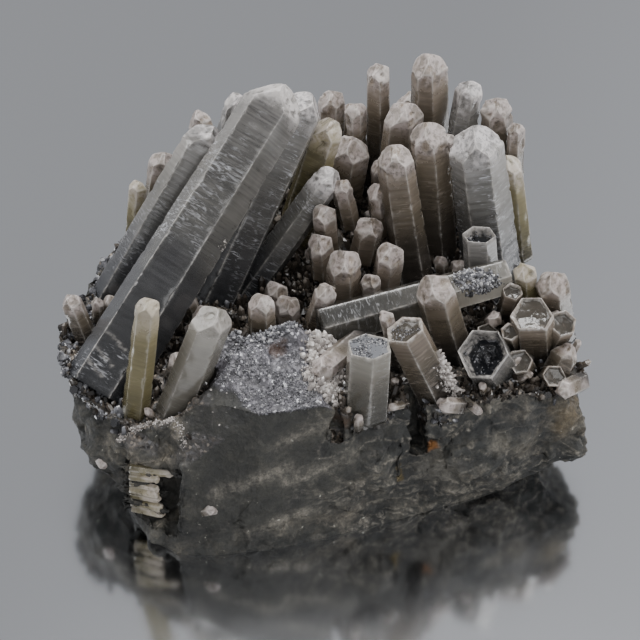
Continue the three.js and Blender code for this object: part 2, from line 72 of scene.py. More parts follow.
# %% Meshes from arrays
def make_piece(name, points, triangles, attributes=None, smooth=True):
    """A mesh object from points in mm and rows of three corners. Attributes are one number, or
    three, for each point."""
    mesh = bpy.data.meshes.new(name)
    corners = np.ascontiguousarray(triangles, np.int32).ravel()
    mesh.vertices.add(len(points))
    mesh.vertices.foreach_set("co", (np.asarray(points, float) * MM).astype(np.float32).ravel())
    mesh.loops.add(len(corners))
    mesh.loops.foreach_set("vertex_index", corners)
    mesh.polygons.add(len(triangles))
    mesh.polygons.foreach_set("loop_start", np.arange(0, len(corners), 3, dtype=np.int32))
    mesh.polygons.foreach_set("use_smooth", np.full(len(triangles), smooth))
    for label, values in (attributes or {}).items():
        values = np.asarray(values, np.float32)
        kind, key = ("FLOAT_VECTOR", "vector") if values.ndim == 2 else ("FLOAT", "value")
        mesh.attributes.new(label, kind, "POINT").data.foreach_set(key, values.ravel())
    mesh.update(calc_edges=True)
    mesh.validate()
    piece = bpy.data.objects.new(name, mesh)
    bpy.context.scene.collection.objects.link(piece)
    return piece


def place(piece, material, slot, *nodes):
    """Gives a piece its material and its body, and hides the imported solids it stands for; slot is not
    used.
    """
    piece.data.materials.append(material)
    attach(piece, "root")
    if nodes:
        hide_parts(*nodes)
    return piece


slot_of = {name: node.data.materials[0].name for name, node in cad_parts.items()}
print("packed pieces by slot:", {slot: list(slot_of.values()).count(slot)
                                 for slot in sorted(set(slot_of.values()))})

# %% Points and directions of a surface
def outward(points, triangles):
    """The direction out of the surface at each point, from the triangles round it by their area."""
    a, b, c = (points[triangles[:, k]] for k in range(3))
    normals = np.cross(b - a, c - a)
    total = np.zeros_like(points)
    for k in range(3):
        np.add.at(total, triangles[:, k], normals)
    return total / np.maximum(np.linalg.norm(total, axis=1, keepdims=True), 1e-9)


def points_of(node):
    """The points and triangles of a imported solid, in mm, with doubled points merged."""
    mesh = node.data
    mesh.calc_loop_triangles()
    points = np.zeros(len(mesh.vertices) * 3)
    corners = np.zeros(len(mesh.loop_triangles) * 3, np.int32)
    mesh.vertices.foreach_get("co", points)
    mesh.loop_triangles.foreach_get("vertices", corners)
    points = points.reshape(-1, 3) / MM
    _, first, back = np.unique(
        np.round(points * 500).astype(np.int64), axis=0, return_index=True, return_inverse=True)
    triangles = back.ravel()[corners].reshape(-1, 3)
    whole = (triangles != np.roll(triangles, 1, axis=1)).all(axis=1)
    return points[first], triangles[whole]


print("points and triangles of the rock's solid:", *map(len, points_of(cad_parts["matrix"])))


# %% Colours and nodes
def linear(text):
    """An sRGB hex colour as linear light with alpha 1."""
    parts = [int(text[i:i + 2], 16) / 255 for i in (1, 3, 5)]
    parts = [c / 12.92 if c <= 0.04045 else ((c + 0.055) / 1.055) ** 2.4 for c in parts]
    return (*parts, 1.0)


def add(tree, kind, inputs=(), stops=(), out=0, **settings):
    """Adds one shader node and gives the output asked for, by number or name. Settings become its
    properties. Inputs fill its sockets with numbers, hex colours or other nodes' outputs: in
    order, or by number or name from a dictionary. Stops are the places and colours of a ramp."""
    made = tree.nodes.new("ShaderNode" + kind)
    for name, value in settings.items():
        setattr(made, name, value)
    for socket, value in inputs.items() if isinstance(inputs, dict) else enumerate(inputs):
        if isinstance(value, bpy.types.NodeSocket):
            tree.links.new(value, made.inputs[socket])
        else:
            made.inputs[socket].default_value = linear(value) if isinstance(value, str) else value
    for i, (position, colour) in enumerate(stops):
        elements = made.color_ramp.elements
        stop = elements[i] if i < 2 else elements.new(position)
        stop.position = position
        stop.color = linear(colour)
    return made.outputs[out] if len(made.outputs) else made


def new_material(name):
    """An empty node material, and the helper above bound to its tree."""
    material = bpy.data.materials.new(name)
    material.use_nodes = True
    material.node_tree.nodes.clear()
    return material, partial(add, material.node_tree)


print("white is", linear("#ffffff"), "and mid grey is", round(linear("#808080")[0], 3))

# %% [markdown]
# ## Numbers that repeat
# Rock and crystals are irregular, but the file must give the same shapes each time it runs.
# A generator with a fixed seed gives the single numbers, and a lattice of mixed whole numbers
# gives smooth noise at any point in space. Blender's own noise functions take one point at a
# time; these take a whole array, which is many times quicker.

# %% Seeded numbers and noise
SEED = 9


def mixed(cells, salt):
    """A number from 0 to 1 for each whole-number cell, by multiplying and folding its bits."""
    cells = cells.astype(np.int64)
    n = cells[..., 0] * 374761393 + cells[..., 1] * 668265263 + cells[..., 2] * 974634777
    n = (n + salt * 1442695041) & 0xFFFFFFFF
    n = ((n ^ (n >> 13)) * 1274126177) & 0xFFFFFFFF
    return ((n ^ (n >> 16)) & 0xFFFFFF) / 0xFFFFFF


def noise(points, size, salt=0):
    """Smooth noise from -1 to 1: the numbers at a cell's eight corners, blended by 3t^2 - 2t^3."""
    scaled = np.asarray(points, float) / size
    cell = np.floor(scaled)
    t = scaled - cell
    t = t * t * (3 - 2 * t)
    total = np.zeros(scaled.shape[:-1])
    for corner in np.ndindex(2, 2, 2):
        corner = np.array(corner)
        share = np.where(corner == 1, t, 1 - t).prod(axis=-1)
        total += share * mixed(cell + corner, salt)
    return total * 2 - 1


print("noise at one point:", round(float(noise(np.full((1, 3), 0.3), 1.0)[0]), 3))


# %% Dents and facets
def scallops(points, size, salt=0):
    """Shell-like dents that meet in sharp ridges: 0 in the middle of a dent and about 1 on a
    ridge. It is the squared distance to the nearest of one random point per cell."""
    scaled = np.asarray(points, float) / size
    cell = np.floor(scaled)
    nearest = np.full(scaled.shape[:-1], 9.0)
    for step in np.ndindex(3, 3, 3):
        near = cell + np.array(step) - 1
        spot = near + np.stack([mixed(near, salt + k) for k in range(3)], axis=-1)
        nearest = np.minimum(nearest, ((scaled - spot) ** 2).sum(axis=-1))
    return nearest


def splits(points, size, salt=0):
    """Flat tilted facets from -1 to 1: every point takes the slope of its nearest random spot, so
    that the surface is a plane in each cell and steps from one cell to the next."""
    scaled = np.asarray(points, float) / size
    cell = np.floor(scaled)
    nearest = np.full(scaled.shape[:-1], 9.0)
    height = np.zeros(scaled.shape[:-1])
    for step in np.ndindex(3, 3, 3):
        near = cell + np.array(step) - 1
        away = scaled - near - np.stack([mixed(near, salt + k) for k in range(3)], axis=-1)
        slope = np.stack([mixed(near, salt + 3 + k) for k in range(3)], axis=-1) * 2 - 1
        square = (away ** 2).sum(axis=-1)
        height = np.where(square < nearest, (away * slope).sum(axis=-1), height)
        nearest = np.minimum(nearest, square)
    return np.clip(height, -1, 1)


print("a dent and a facet at one point:", *[
    round(float(shape(np.full((1, 3), 0.3), 1.0)[0]), 3) for shape in (scallops, splits)])


# %% Soft steps and lines
def smooth_step(low, high, x):
    """0 below low, 1 above high, and 3t^2 - 2t^3 between."""
    t = np.clip((x - low) / (high - low), 0, 1)
    return t * t * (3 - 2 * t)


def near_line(points, path, width):
    """1 on a path of straight runs, and exp(-(d/width)^2) at a distance d from it, in mm."""
    path = np.array(path, float)
    away = np.full(len(points), np.inf)
    for a, b in zip(path[:-1], path[1:]):
        along = np.clip((points - a) @ (b - a) / ((b - a) @ (b - a)), 0, 1)
        away = np.minimum(away, np.linalg.norm(points - a - along[:, None] * (b - a), axis=1))
    return np.exp(-(away / width) ** 2)


print("0.1 mm off a line 0.2 mm wide:", round(float(near_line(
    np.array([[0.5, 0.1, 0.0]]), [(0, 0, 0), (1, 0, 0)], 0.2)[0]), 3))

# %% [markdown]
# ## Floor, light and camera
# The stone stands on a polished grey plate in soft studio light. The plate mirrors the dark front
# of the stone, a little blurred by fine wear, so it is made as a metal with a low roughness. The
# studio round it is plain grey, a little brighter high up on the right. A large lamp above and
# behind lights the tips, and three wide weak ones from the sides and the front open up the
# shadows. A studio panorama as the sky could do as much, but lamps can be moved one by one. The
# camera is a long lens that looks down at 38 degrees.

# %% Floor
FLOOR_HALF = 3000.0  # mm

# sheet metal, polished: it mirrors what stands on it, with a haze from fine wear
floor_material, node = new_material("polished_grey_plate")
plate = node("TexNoise", {"Scale": 9.0, "Detail": 2.0}, out="Fac")  # faint clouds of 0.7 m
plate_tone = node("ValToRGB", (plate,), stops=[(0.3, "#cbcccf"), (0.7, "#d2d4d6")])
plate_skin = node("BsdfPrincipled", {"Base Color": plate_tone, "Roughness": 0.12, "Metallic": 1.0})
node("OutputMaterial", {"Surface": plate_skin})

floor_corners = np.array([[-1, -1, 0], [1, -1, 0], [1, 1, 0], [-1, 1, 0]]) * FLOOR_HALF
floor = make_piece("studio_floor", floor_corners, np.array([[0, 1, 2], [0, 2, 3]]), smooth=False)
floor.data.materials.append(floor_material)
print("floor in m:", 2 * FLOOR_HALF * MM, "square")

# %% Studio and lamps
world = bpy.data.worlds.new("studio_world")
bpy.context.scene.world = world
world.use_nodes = True
node = partial(add, world.node_tree)
way = node("SeparateXYZ", (node("TexCoord", out="Generated"),)).node.outputs
climb = node("Math", (way["Z"], 1.5), operation="MULTIPLY")
climb = node("Math", (way["X"], 3.5, climb), operation="MULTIPLY_ADD")
brightness = node("MapRange", (climb, 1.0, 1.6, 0.95, 1.25))
background = world.node_tree.nodes["Background"].inputs
background["Color"].default_value = linear("#babbbe")
world.node_tree.links.new(brightness, background["Strength"])

LAMP_TARGET = Vector((0, 0, 30 * MM))
LAMPS = [  # name, angle round the stone (0 is in front), height angle, distance m, side m, watts
    ("softbox_above", 170, 70, 0.9, 0.42, 8.7),
    ("window_left", -105, 38, 1.0, 0.6, 6.5),
    ("window_right", 100, 35, 1.1, 0.6, 6.5),
    ("card_in_front", 15, 33, 1.3, 1.0, 9.0),
]
for name, azimuth, elevation, distance, size, watts in LAMPS:
    data = bpy.data.lights.new(name, "AREA")
    data.shape = "SQUARE"
    data.size = size
    data.energy = watts
    lamp = bpy.data.objects.new(name, data)
    bpy.context.scene.collection.objects.link(lamp)
    a, e = math.radians(azimuth), math.radians(elevation)
    towards = Vector((math.sin(a) * math.cos(e), -math.cos(a) * math.cos(e), math.sin(e)))
    lamp.location = LAMP_TARGET + towards * distance
    lamp.rotation_euler = towards.to_track_quat("Z", "Y").to_euler()
print("lamps:", [row[0] for row in LAMPS])

# %% Camera
CAMERA_TARGET = Vector((-0.70, -4.16, 25.0)) * MM
CAMERA_ELEVATION = math.radians(38)
CAMERA_DISTANCE = 450 * MM
LENS, SENSOR = 121.5, 36.0  # mm
IMAGE_WIDTH = 640  # pixels

camera_data = bpy.data.cameras.new("camera")
camera_data.lens = LENS
camera_data.sensor_width = SENSOR
camera = bpy.data.objects.new("camera", camera_data)
bpy.context.scene.collection.objects.link(camera)
back = Vector((0, -math.cos(CAMERA_ELEVATION), math.sin(CAMERA_ELEVATION)))
camera.location = CAMERA_TARGET + back * CAMERA_DISTANCE
camera.rotation_euler = back.to_track_quat("Z", "Y").to_euler()
bpy.context.scene.camera = camera
print("pixels per mm at the stone:", round(IMAGE_WIDTH * LENS / SENSOR / (CAMERA_DISTANCE / MM), 2))

# %% [markdown]
# ## The skin of one crystal
# A quartz crystal is a six-sided column that closes in a point of sloping faces. Each packed
# crystal is a convex solid, so its flat faces say everything about it: a point is inside when
# it is behind all of them. From a spot on the crystal's axis, the skin lies where the nearest
# face is met. Taking a soft minimum, not the plain one, rounds the edges a little, as on the
# real thing, where they are worn. Growth leaves low steps across the column's sides, and those
# are made by letting each side's distance change along the axis. A six-sided cylinder with a
# Bevel modifier would be quicker, but its faces would be dead flat and its edges all alike.

# %% Faces and axis of a packed crystal
SAME_PLANE = 0.9992  # triangles whose normals' product is above this lie on one face
SAME_DISTANCE = 0.12  # mm, and whose distances differ by less
FLATNESS = 0.04  # mm that a corner may stand out of a face
END_SLICE = 0.3  # mm: the corners this near to an end are averaged to find its middle
COLUMN_LEAN = 0.2  # a face belongs to the column when its normal's part along the axis is below this


def faces_of(points, triangles):
    """Normals, distances and areas of the flat faces that have the whole solid behind them."""
    a, b, c = (points[triangles[:, k]] for k in range(3))
    normals = np.cross(b - a, c - a)
    areas = np.linalg.norm(normals, axis=1) / 2
    keep = areas > 1e-4
    normals, areas, a = normals[keep] / (2 * areas[keep, None]), areas[keep], a[keep]
    distances = (normals * a).sum(axis=1)
    found, left = [], np.ones(len(areas), bool)
    while left.any():
        first = np.argmax(np.where(left, areas, -1))
        same = left & (normals @ normals[first] > SAME_PLANE)
        same &= abs(distances - distances[first]) < SAME_DISTANCE
        same[first] = True
        left &= ~same
        outside = (points @ normals[first]).max() - distances[first]
        if outside < FLATNESS:
            found.append((*normals[first], distances[first], areas[same].sum()))
    found = np.array(found)
    return found[:, :3], found[:, 3], found[:, 4]


def read_crystal(name):
    """A packed crystal's faces, the middle of its foot, its tip, and which faces are its column.
    The axis is the direction that the faces, by their area, look along least."""
    points, triangles = points_of(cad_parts[name])
    normals, distances, areas = faces_of(points, triangles)
    spread = np.linalg.eigh((normals * areas[:, None]).T @ normals)
    axis = spread[1][:, 0]
    axis = axis if axis[np.argmax(abs(axis))] > 0 else -axis
    along = points @ axis
    foot = points[along < along.min() + END_SLICE].mean(axis=0)
    tip = points[along > along.max() - END_SLICE].mean(axis=0)
    column = abs(normals @ axis) < COLUMN_LEAN
    return {"normals": normals, "distances": distances, "column": column, "corners": points,
            "foot": foot, "tip": tip, "axis": axis}


for name in ("great_crystal", "amber_crystal", "rim_olive_stub", "fallen_bar_crystal"):
    made = read_crystal(name)
    print(name, "faces:", len(made["normals"]), "in the column:", int(made["column"].sum()),
          "length in mm:", round(float(np.linalg.norm(made["tip"] - made["foot"])), 1))


# %% Where the skin lies
FOOT_GROWTH = 0.3  # mm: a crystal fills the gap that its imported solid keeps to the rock
ROUGH_RING = 1081  # points on the first, even ring, from which the final ones are spread
GROWTH_STEPS = 14  # on each side of a column


def nearest_face(left, rate, sharp):
    """How far the skin is, which face it lies on, and how much further off the next face is, from
    the distance left to each face and the rate at which a direction closes it. The power mean
    of the distances, (sum of d^-sharp)^(-1/sharp), is their minimum with rounded corners."""
    reach = np.maximum(left, 1e-6) / np.maximum(rate, 1e-4)
    nearest = reach.min(axis=-1, keepdims=True)
    radius = nearest[..., 0] * ((reach / nearest) ** -sharp).sum(axis=-1) ** (-1 / sharp)
    ranked = np.partition(reach, 1, axis=-1)
    return radius, reach.argmin(axis=-1), ranked[..., 1] - ranked[..., 0]


def skin_radius(normals, centres, directions, distances, sharp):
    """nearest_face for a ring of directions u round each centre c: a face with normal n and
    distance d has d - n.c left, and n.u is the rate."""
    left = distances - centres @ normals.T
    return nearest_face(left[:, None, :], directions @ normals.T, sharp)


def growth_steps(count, heights, length, depth, salt):
    """How far each side has stepped in at each height, in mm: a sum of smooth steps at random
    heights, each side with its own, so that the column narrows a little in terraces."""
    side, step = np.meshgrid(np.arange(count), np.arange(GROWTH_STEPS), indexing="ij")
    cells = np.stack([side, step, np.full_like(side, salt)], axis=-1)
    places = mixed(cells, 3) * length * 1.02
    sizes = mixed(cells, 8) ** 2 - 0.25
    gone = smooth_step(-0.35, 0.35, heights[:, None, None] - places[None])
    return (gone * sizes[None]).sum(axis=-1) * depth


def ways_round(angles, across, third):
    """Directions square to the axis: cos of each angle along the first, sin along the second."""
    return np.cos(angles)[..., None] * across + np.sin(angles)[..., None] * third


def even_angles(angles, radius, around):
    """That many angles round each ring, spread by the outline's length and by how much it turns,
    so that every edge has points of its own: the inverse of the running share of both."""
    x, y = radius * np.cos(angles), radius * np.sin(angles)
    dx, dy = np.diff(x, axis=1), np.diff(y, axis=1)
    run = np.hypot(dx, dy)
    heading = np.unwrap(np.arctan2(dy, dx), axis=1)
    turned = abs(np.diff(heading, axis=1, append=heading[:, :1] + 2 * math.pi))
    share = run / run.sum(axis=1, keepdims=True) + turned / turned.sum(axis=1, keepdims=True)
    share = np.cumsum(share, axis=1) / 2
    share = np.concatenate([np.zeros((len(radius), 1)), share], axis=1)
    wanted = np.arange(around) / around
    return np.stack([np.interp(wanted, row, angles) for row in share])


steps_shown = growth_steps(6, np.array([1.0, 10.0, 20.0]), 20.0, 0.05, 1)
print("a 20 mm column has stepped in by, in mm:", steps_shown.mean(axis=1).round(3))


# %% Rings joined to a closed skin
def ring_grid(rings, around):
    """Triangles of a tube of rings, closed by one point at each end (the last two points)."""
    i, j = np.meshgrid(np.arange(rings - 1), np.arange(around), indexing="ij")
    a = (i * around + j).ravel()
    b = (i * around + (j + 1) % around).ravel()
    side = np.concatenate([np.stack([a, b, b + around], 1), np.stack([a, b + around, a + around], 1)])
    j = np.arange(around)
    low, high = rings * around, rings * around + 1
    last = (rings - 1) * around
    foot = np.stack([np.full(around, low), (j + 1) % around, j], 1)
    tip = np.stack([np.full(around, high), last + j, last + (j + 1) % around], 1)
    return np.concatenate([side, foot, tip])


def crystal_frame(crystal):
    """The axis from the middle of the foot to the tip, two directions square to it, and the
    crystal's length."""
    axis = crystal["tip"] - crystal["foot"]
    length = np.linalg.norm(axis)
    axis = axis / length
    across = crystal["normals"][crystal["column"]][0]
    across = across - axis * (across @ axis)
    across /= np.linalg.norm(across)
    return axis, across, np.cross(axis, across), length


def face_tones(face, salt):
    """A number from 0 to 1 for each face of a crystal, at every point that lies on it."""
    return mixed(np.stack([face, np.full_like(face, salt), np.zeros_like(face)], axis=-1), 2)


print("triangles of 10 rings of 6 points:", len(ring_grid(10, 6)))


# %% The parts of a pointed crystal
def shoulder_height(crystal, axis):
    """The height where the sloping faces first cut into the column: the lowest corner that a
    sloping face has, seen along the axis."""
    top = crystal["normals"] @ axis > 0.3
    corners = crystal["corners"]
    left = crystal["distances"][None, :] - corners @ crystal["normals"].T
    on_top = (abs(left[:, top]) < 0.06).any(axis=1)
    return float(((corners[on_top] - crystal["foot"]) @ axis).min()) - 0.3


def ring_heights(length, shoulder, column_step, tip_step):
    """Heights of the rings: even steps up the column, shorter ones over the sloping faces, and
    four more close to the tip."""
    slope = length - shoulder
    low = np.arange(0, length - slope, column_step)
    high = np.linspace(length - slope, length, max(6, int(slope / tip_step)) + 1)[:-1]
    last = length - np.array([0.12, 0.05, 0.015, 0.003])
    return np.concatenate([low, high, last[last > high[-1] + 0.01]])


def chipped_faces(crystal, axis, across, third, chips, growth, salt):
    """The faces moved out by the growth, and one plane more for each chip. It leans at random and
    cuts 0.08 to 0.4 mm off the corner that it meets first."""
    normals, distances = crystal["normals"], crystal["distances"] + growth
    pick = np.random.default_rng(SEED * 1000 + salt)
    for _ in range(chips):
        lean = pick.uniform(0.35, 1.1)
        turn = pick.uniform(0, 2 * math.pi)
        level = across * math.cos(turn) + third * math.sin(turn)
        cut = axis * math.sin(lean) + level * math.cos(lean)
        corner = (crystal["corners"] @ cut).max()
        normals = np.vstack([normals, cut])
        distances = np.append(distances, corner + growth - pick.uniform(0.08, 0.4))
    return normals, distances, np.append(crystal["column"], np.zeros(chips, bool))


def frosting(from_tip, cap, points, salt):
    """1 on the frosted cap and 0 on the clear body, with a ragged border a few mm wide."""
    ragged = noise(points, 3.0, salt + 11) * 1.5 + noise(points, 1.0, salt + 12) * 0.9
    return 1 - smooth_step(cap * 0.65, cap * 1.25 + 0.8, from_tip + ragged)


print("ring heights of a 10 mm crystal:", ring_heights(10, 8, 2.0, 0.5).round(2))

# %% A pointed crystal
WORN = 0.16  # mm from an edge, over which its pale wear fades
NICKED = 0.45  # mm from an edge, over which nicks reach
NICK_DEPTH, PIT_DEPTH, FROST_RELIEF = 0.28, 0.3, 0.05  # mm
FULL_WIDTH = 1.2  # mm from the axis: nearer to it, wear and relief fade out, so that tips stay whole


def crystal_surface(crystal, salt, cap, around=72, column_step=0.9, tip_step=0.26, sharp=42,
                    terraces=0.05, roughness=0.03, chips=3, growth=FOOT_GROWTH, lines=0.0,
                    blunt=0.4):
    """Points, triangles and attributes of one pointed crystal with a frosted cap of that many mm.
    Rings climb the axis, and each point lies where its direction meets the nearest face, moved
    by noise, nicks, pits and, on faces that look forward, by lines across the column. The tip
    is worn: a point t below it sinks by sqrt(t^2 + blunt^2) - t."""
    axis, across, third, length = crystal_frame(crystal)
    length += growth
    normals, distances, column = chipped_faces(crystal, axis, across, third, chips, growth, salt)
    heights = ring_heights(length, shoulder_height(crystal, axis), column_step, tip_step)
    centres = crystal["foot"] + heights[:, None] * axis
    reach = np.tile(distances, (len(heights), 1))
    reach[:, column] -= growth_steps(int(column.sum()), heights, length, terraces, salt)
    angles = np.linspace(0, 2 * math.pi, ROUGH_RING)
    rough, _, _ = skin_radius(normals, centres, ways_round(angles, across, third)[None], reach, sharp)
    ways = ways_round(even_angles(angles, rough, around), across, third)
    radius, face, gap = skin_radius(normals, centres, ways, reach, sharp)

    skin = centres[:, None, :] + ways * radius[..., None]
    below = np.repeat((length - heights)[:, None], around, axis=1)
    edge = np.exp(-gap / WORN) * np.minimum(1, radius / FULL_WIDTH)
    frost = frosting(below, cap, skin, salt)
    wobble = (noise(skin, 3.1, salt) * 0.6 + noise(skin, 1.1, salt + 5) * 0.4) * roughness
    nick = np.exp(-gap / NICKED) * smooth_step(0.22, 0.5, noise(skin, 1.3, salt + 6)) * NICK_DEPTH
    hole = frost * smooth_step(0.36, 0.55, noise(skin, 1.4, salt + 7))
    flat_line = noise(np.stack([heights * 0, heights * 0 + salt, heights], 1), 0.45, salt + 8)
    crease = (smooth_step(-0.2, 0.3, flat_line)[:, None] - 0.5) * lines * (1 - frost)
    crease *= smooth_step(0.55, 0.8, -normals[face][..., 1])
    small = np.minimum(1, radius / FULL_WIDTH) * np.minimum(1, below / (2.5 * blunt))
    radius = radius + (wobble + crease - nick - PIT_DEPTH * hole + FROST_RELIEF * frost
                       * noise(skin, 0.6, salt + 9)) * small
    frost = frost * (1 - 0.8 * hole)
    skin = centres[:, None, :] + ways * radius[..., None]
    points = np.concatenate([skin.reshape(-1, 3), [centres[0], crystal["foot"] + axis * length]])
    from_tip = np.append(below.ravel(), [length, 0])
    points = points + (from_tip - np.hypot(from_tip, blunt))[:, None] * axis
    grain = np.stack([(points - crystal["foot"]) @ way for way in (across, third, axis)], axis=1)
    attributes = {  # the grain starts elsewhere in each crystal, so that no two look the same
        "grain": grain + mixed(np.array([salt, 1, 2]), 7) * 400,
        "from_tip": from_tip,
        "deep": from_tip / length,
        "edge": np.append(edge.ravel(), [0, 0.3]),
        "frost": np.append(frost.ravel(), [0, 1]),
        "pit": np.zeros(len(points)),
        "face": np.append(face_tones(face, salt).ravel(), [0, 0]),
    }
    return points, ring_grid(len(heights), around), attributes


shown = crystal_surface(read_crystal("amber_crystal"), 0, 5.0)
print("the amber crystal as a skin:", len(shown[0]), "points and", len(shown[1]), "triangles")

# %% [markdown]
# ## A broken crystal
# Six of the large crystals have lost their tips. Quartz has no planes to split along, so a break
# is tilted and goes down into the crystal in rough ring-shaped steps, with a rounded lip left on
# the walls. The column is made as before, but its rings end on the tilted plane of the break.
# More rings then go in from the rim to the middle, and each sinks by the shape of the hollow.

# %% Walls, lip and hollow
LIP_HEIGHT = 0.14  # mm


def broken_surface(crystal, salt, around=96, column_step=0.8, cap_rings=26, sharp=46,
                   terraces=0.04, roughness=0.04, pit=1.2, rim=0.55, ragged=0.4,
                   dish=0.35, growth=FOOT_GROWTH):
    """Points, triangles and attributes of a crystal that ends in a break. The walls climb to the
    break's plane. Its middle is pit mm deep and the lip rim mm wide; ragged mm is how uneven the
    floor is, and dish the share of the depth that slopes in to the middle."""
    axis, across, third, length = crystal_frame(crystal)
    foot, top = crystal["foot"], int(np.argmax(crystal["normals"] @ axis))
    walls = crystal["normals"][crystal["column"]]
    reach = crystal["distances"][crystal["column"]] + growth
    rings = int(length / column_step)
    angles = np.linspace(0, 2 * math.pi, ROUGH_RING)
    ways = ways_round(angles, across, third)
    rough, _, _ = skin_radius(walls, (foot + axis * length * 0.8)[None], ways[None], reach, sharp)
    ways = ways_round(even_angles(angles, rough, around)[0], across, third)
    wide, _, _ = skin_radius(walls, (foot + axis * length)[None], ways[None], reach, sharp)
    normal, limit = crystal["normals"][top], crystal["distances"][top] + growth * 0.5

    def plane_height(offsets):
        """Height on the axis where a point that far off it meets the break."""
        return (limit - foot @ normal - offsets @ normal) / (axis @ normal)

    ends = plane_height(ways * wide[0][:, None])
    heights = np.linspace(0, 1, rings)[:, None] * ends[None, :]
    centres = foot + heights[..., None] * axis
    left = reach - centres @ walls.T
    left = left - growth_steps(len(reach), heights.ravel(), length, terraces, salt).reshape(left.shape)
    radius, face, gap = nearest_face(left, (ways @ walls.T)[None], sharp)
    skin = centres + ways[None] * radius[..., None]
    wobble = noise(skin, 2.6, salt) * 0.6 + noise(skin, 0.9, salt + 5) * 0.4
    radius = radius * (1 + wobble * roughness / radius.max())
    skin = centres + ways[None] * radius[..., None]

    inward = np.linspace(0, 1, cap_rings + 1)[1:-1, None] ** 1.1
    offsets = ways[None] * (radius[-1] * (1 - inward))[..., None]
    flat = foot + offsets + plane_height(offsets)[..., None] * axis
    inset = (reach - flat @ walls.T).min(axis=-1)
    inside = np.maximum(inset, 0) + noise(flat, 2.4, salt + 21) * 0.3
    inside = inside + noise(flat, 0.9, salt + 22) * 0.16
    slope = np.clip((inside - rim) / (inset.max() - rim), 0, 1) ** 0.8
    terrace = smooth_step(rim, rim + 0.35, inside) * (1 - dish) + slope * dish
    lip = LIP_HEIGHT * np.exp(-((inset - rim * 0.5) / (rim * 0.4)) ** 2)
    chipped = np.minimum(scallops(flat, 1.7, salt + 23), 1) * 0.5 + scallops(flat, 0.7, salt + 24) * 0.14
    drop = terrace * (pit + (chipped - 0.3) * ragged) - lip
    cap = flat - drop[..., None] * axis
    centre = foot + axis * (plane_height(np.zeros(3)) - drop[-1].mean())

    on_cap = np.zeros(cap[..., 0].size)
    points = np.concatenate([skin.reshape(-1, 3), cap.reshape(-1, 3), [foot, centre]])
    depth = np.concatenate([np.zeros(heights.size), terrace.ravel(), [0, 1]])
    from_tip = np.concatenate([(ends[None] - heights).ravel(), on_cap, [length, 0]])
    edge = np.concatenate([np.exp(-gap / WORN).ravel(), 0.7 * np.exp(-inset / 0.2).ravel(), [0, 0]])
    edge = np.maximum(edge, np.exp(-(from_tip / 0.25)) * (depth < 0.5))
    face = np.concatenate([face_tones(face, salt).ravel(), on_cap + 0.5, [0, 0.5]])
    grain = np.stack([(points - foot) @ way for way in (across, third, axis)], axis=1)
    attributes = {"grain": grain + salt * 31.7, "from_tip": from_tip, "deep": from_tip / length,
                  "edge": edge, "face": face, "pit": depth, "frost": np.zeros(len(points))}
    return points, ring_grid(rings + cap_rings - 1, around), attributes


shown = broken_surface(read_crystal("rim_olive_stub"), 0)
print("a stub as a skin:", len(shown[0]), "points and", len(shown[1]), "triangles")

# %% [markdown]
# ## Smoky quartz
# Natural radiation turned clear quartz grey-brown. A face of it is glassy, with an index of
# refraction of 1.544, and fine lines run across the column where growth halted. White feathery
# veils inside are healed cracks, the edges are chipped pale, and the tips carry a frosted cap.
# A glass shader alone would look like bottle glass, so each finish mixes a see-through body,
# which also swallows light with depth, with paler and more scattering quartz wherever a veil, an
# edge or the cap is. The skins carry where these are as attributes, and the patterns follow the
# crystal's own axes, in millimetres.

# %% Patterns in the quartz
QUARTZ_IOR = 1.544
LINE_SPACING = 0.55  # mm between the fine cross lines of a column's faces
LINE_DEPTH = 0.05  # mm
QUARTZ_PATTERNS = {  # stretch across and along the axis, repeats per mm, detail, distortion
    "cloud": ((1, 1, 0.6), 0.13, 2.0, 0.0),  # tone, over 8 mm
    "lines": ((0.07, 0.07, 1), 1 / LINE_SPACING, 2.0, 0.15),
    "bands": ((0.03, 0.03, 1), 0.33, 2.0, 0.0),  # broader bands of growth, 3 mm apart
    "feather": ((0.42, 0.42, 1.9), 0.9, 5.0, 1.1),  # the wisps of a veil
    "patch": ((1, 1, 0.45), 0.16, 2.0, 0.0),  # where veils are, in parts of 6 mm
    "flaw": ((1, 1, 1), 0.8, 3.0, 0.0),  # gaps in the wear of an edge
    "speck": ((1, 1, 1), 1.3, 5.0, 0.4),  # pits of the frosted cap
    "blot": ((1, 1, 1), 0.42, 4.0, 0.6),  # darker parts of the cap, of 2 mm
}
print("mm between repeats:", {label: round(1 / row[1], 2) for label, row in QUARTZ_PATTERNS.items()})


# %% The body, its veils and its cap
def quartz_body(node, read, shown, body, streaks):
    """The body's colour: darker with depth, and shaded by lines, bands, its own tone and faces, whose
    number holds a random tone per face and painted light on a lit side.
    """
    depth = -0.25
    for part, weight in ((shown["cloud"], 0.5), (read["deep"], 1.0)):
        depth = node("Math", (part, weight, depth), operation="MULTIPLY_ADD")
    colour = node("ValToRGB", (depth,), stops=body)
    shade = 0.55 * (1 - streaks) - 0.25
    for part, weight in ((shown["bands"], 0.9), (shown["lines"], 1.1 * streaks),
                         (read["face"], 0.5), (read["tone"], 0.22)):
        shade = node("Math", (part, weight, shade), operation="MULTIPLY_ADD")
    return node("HueSaturation", {"Color": colour, "Value": shade})


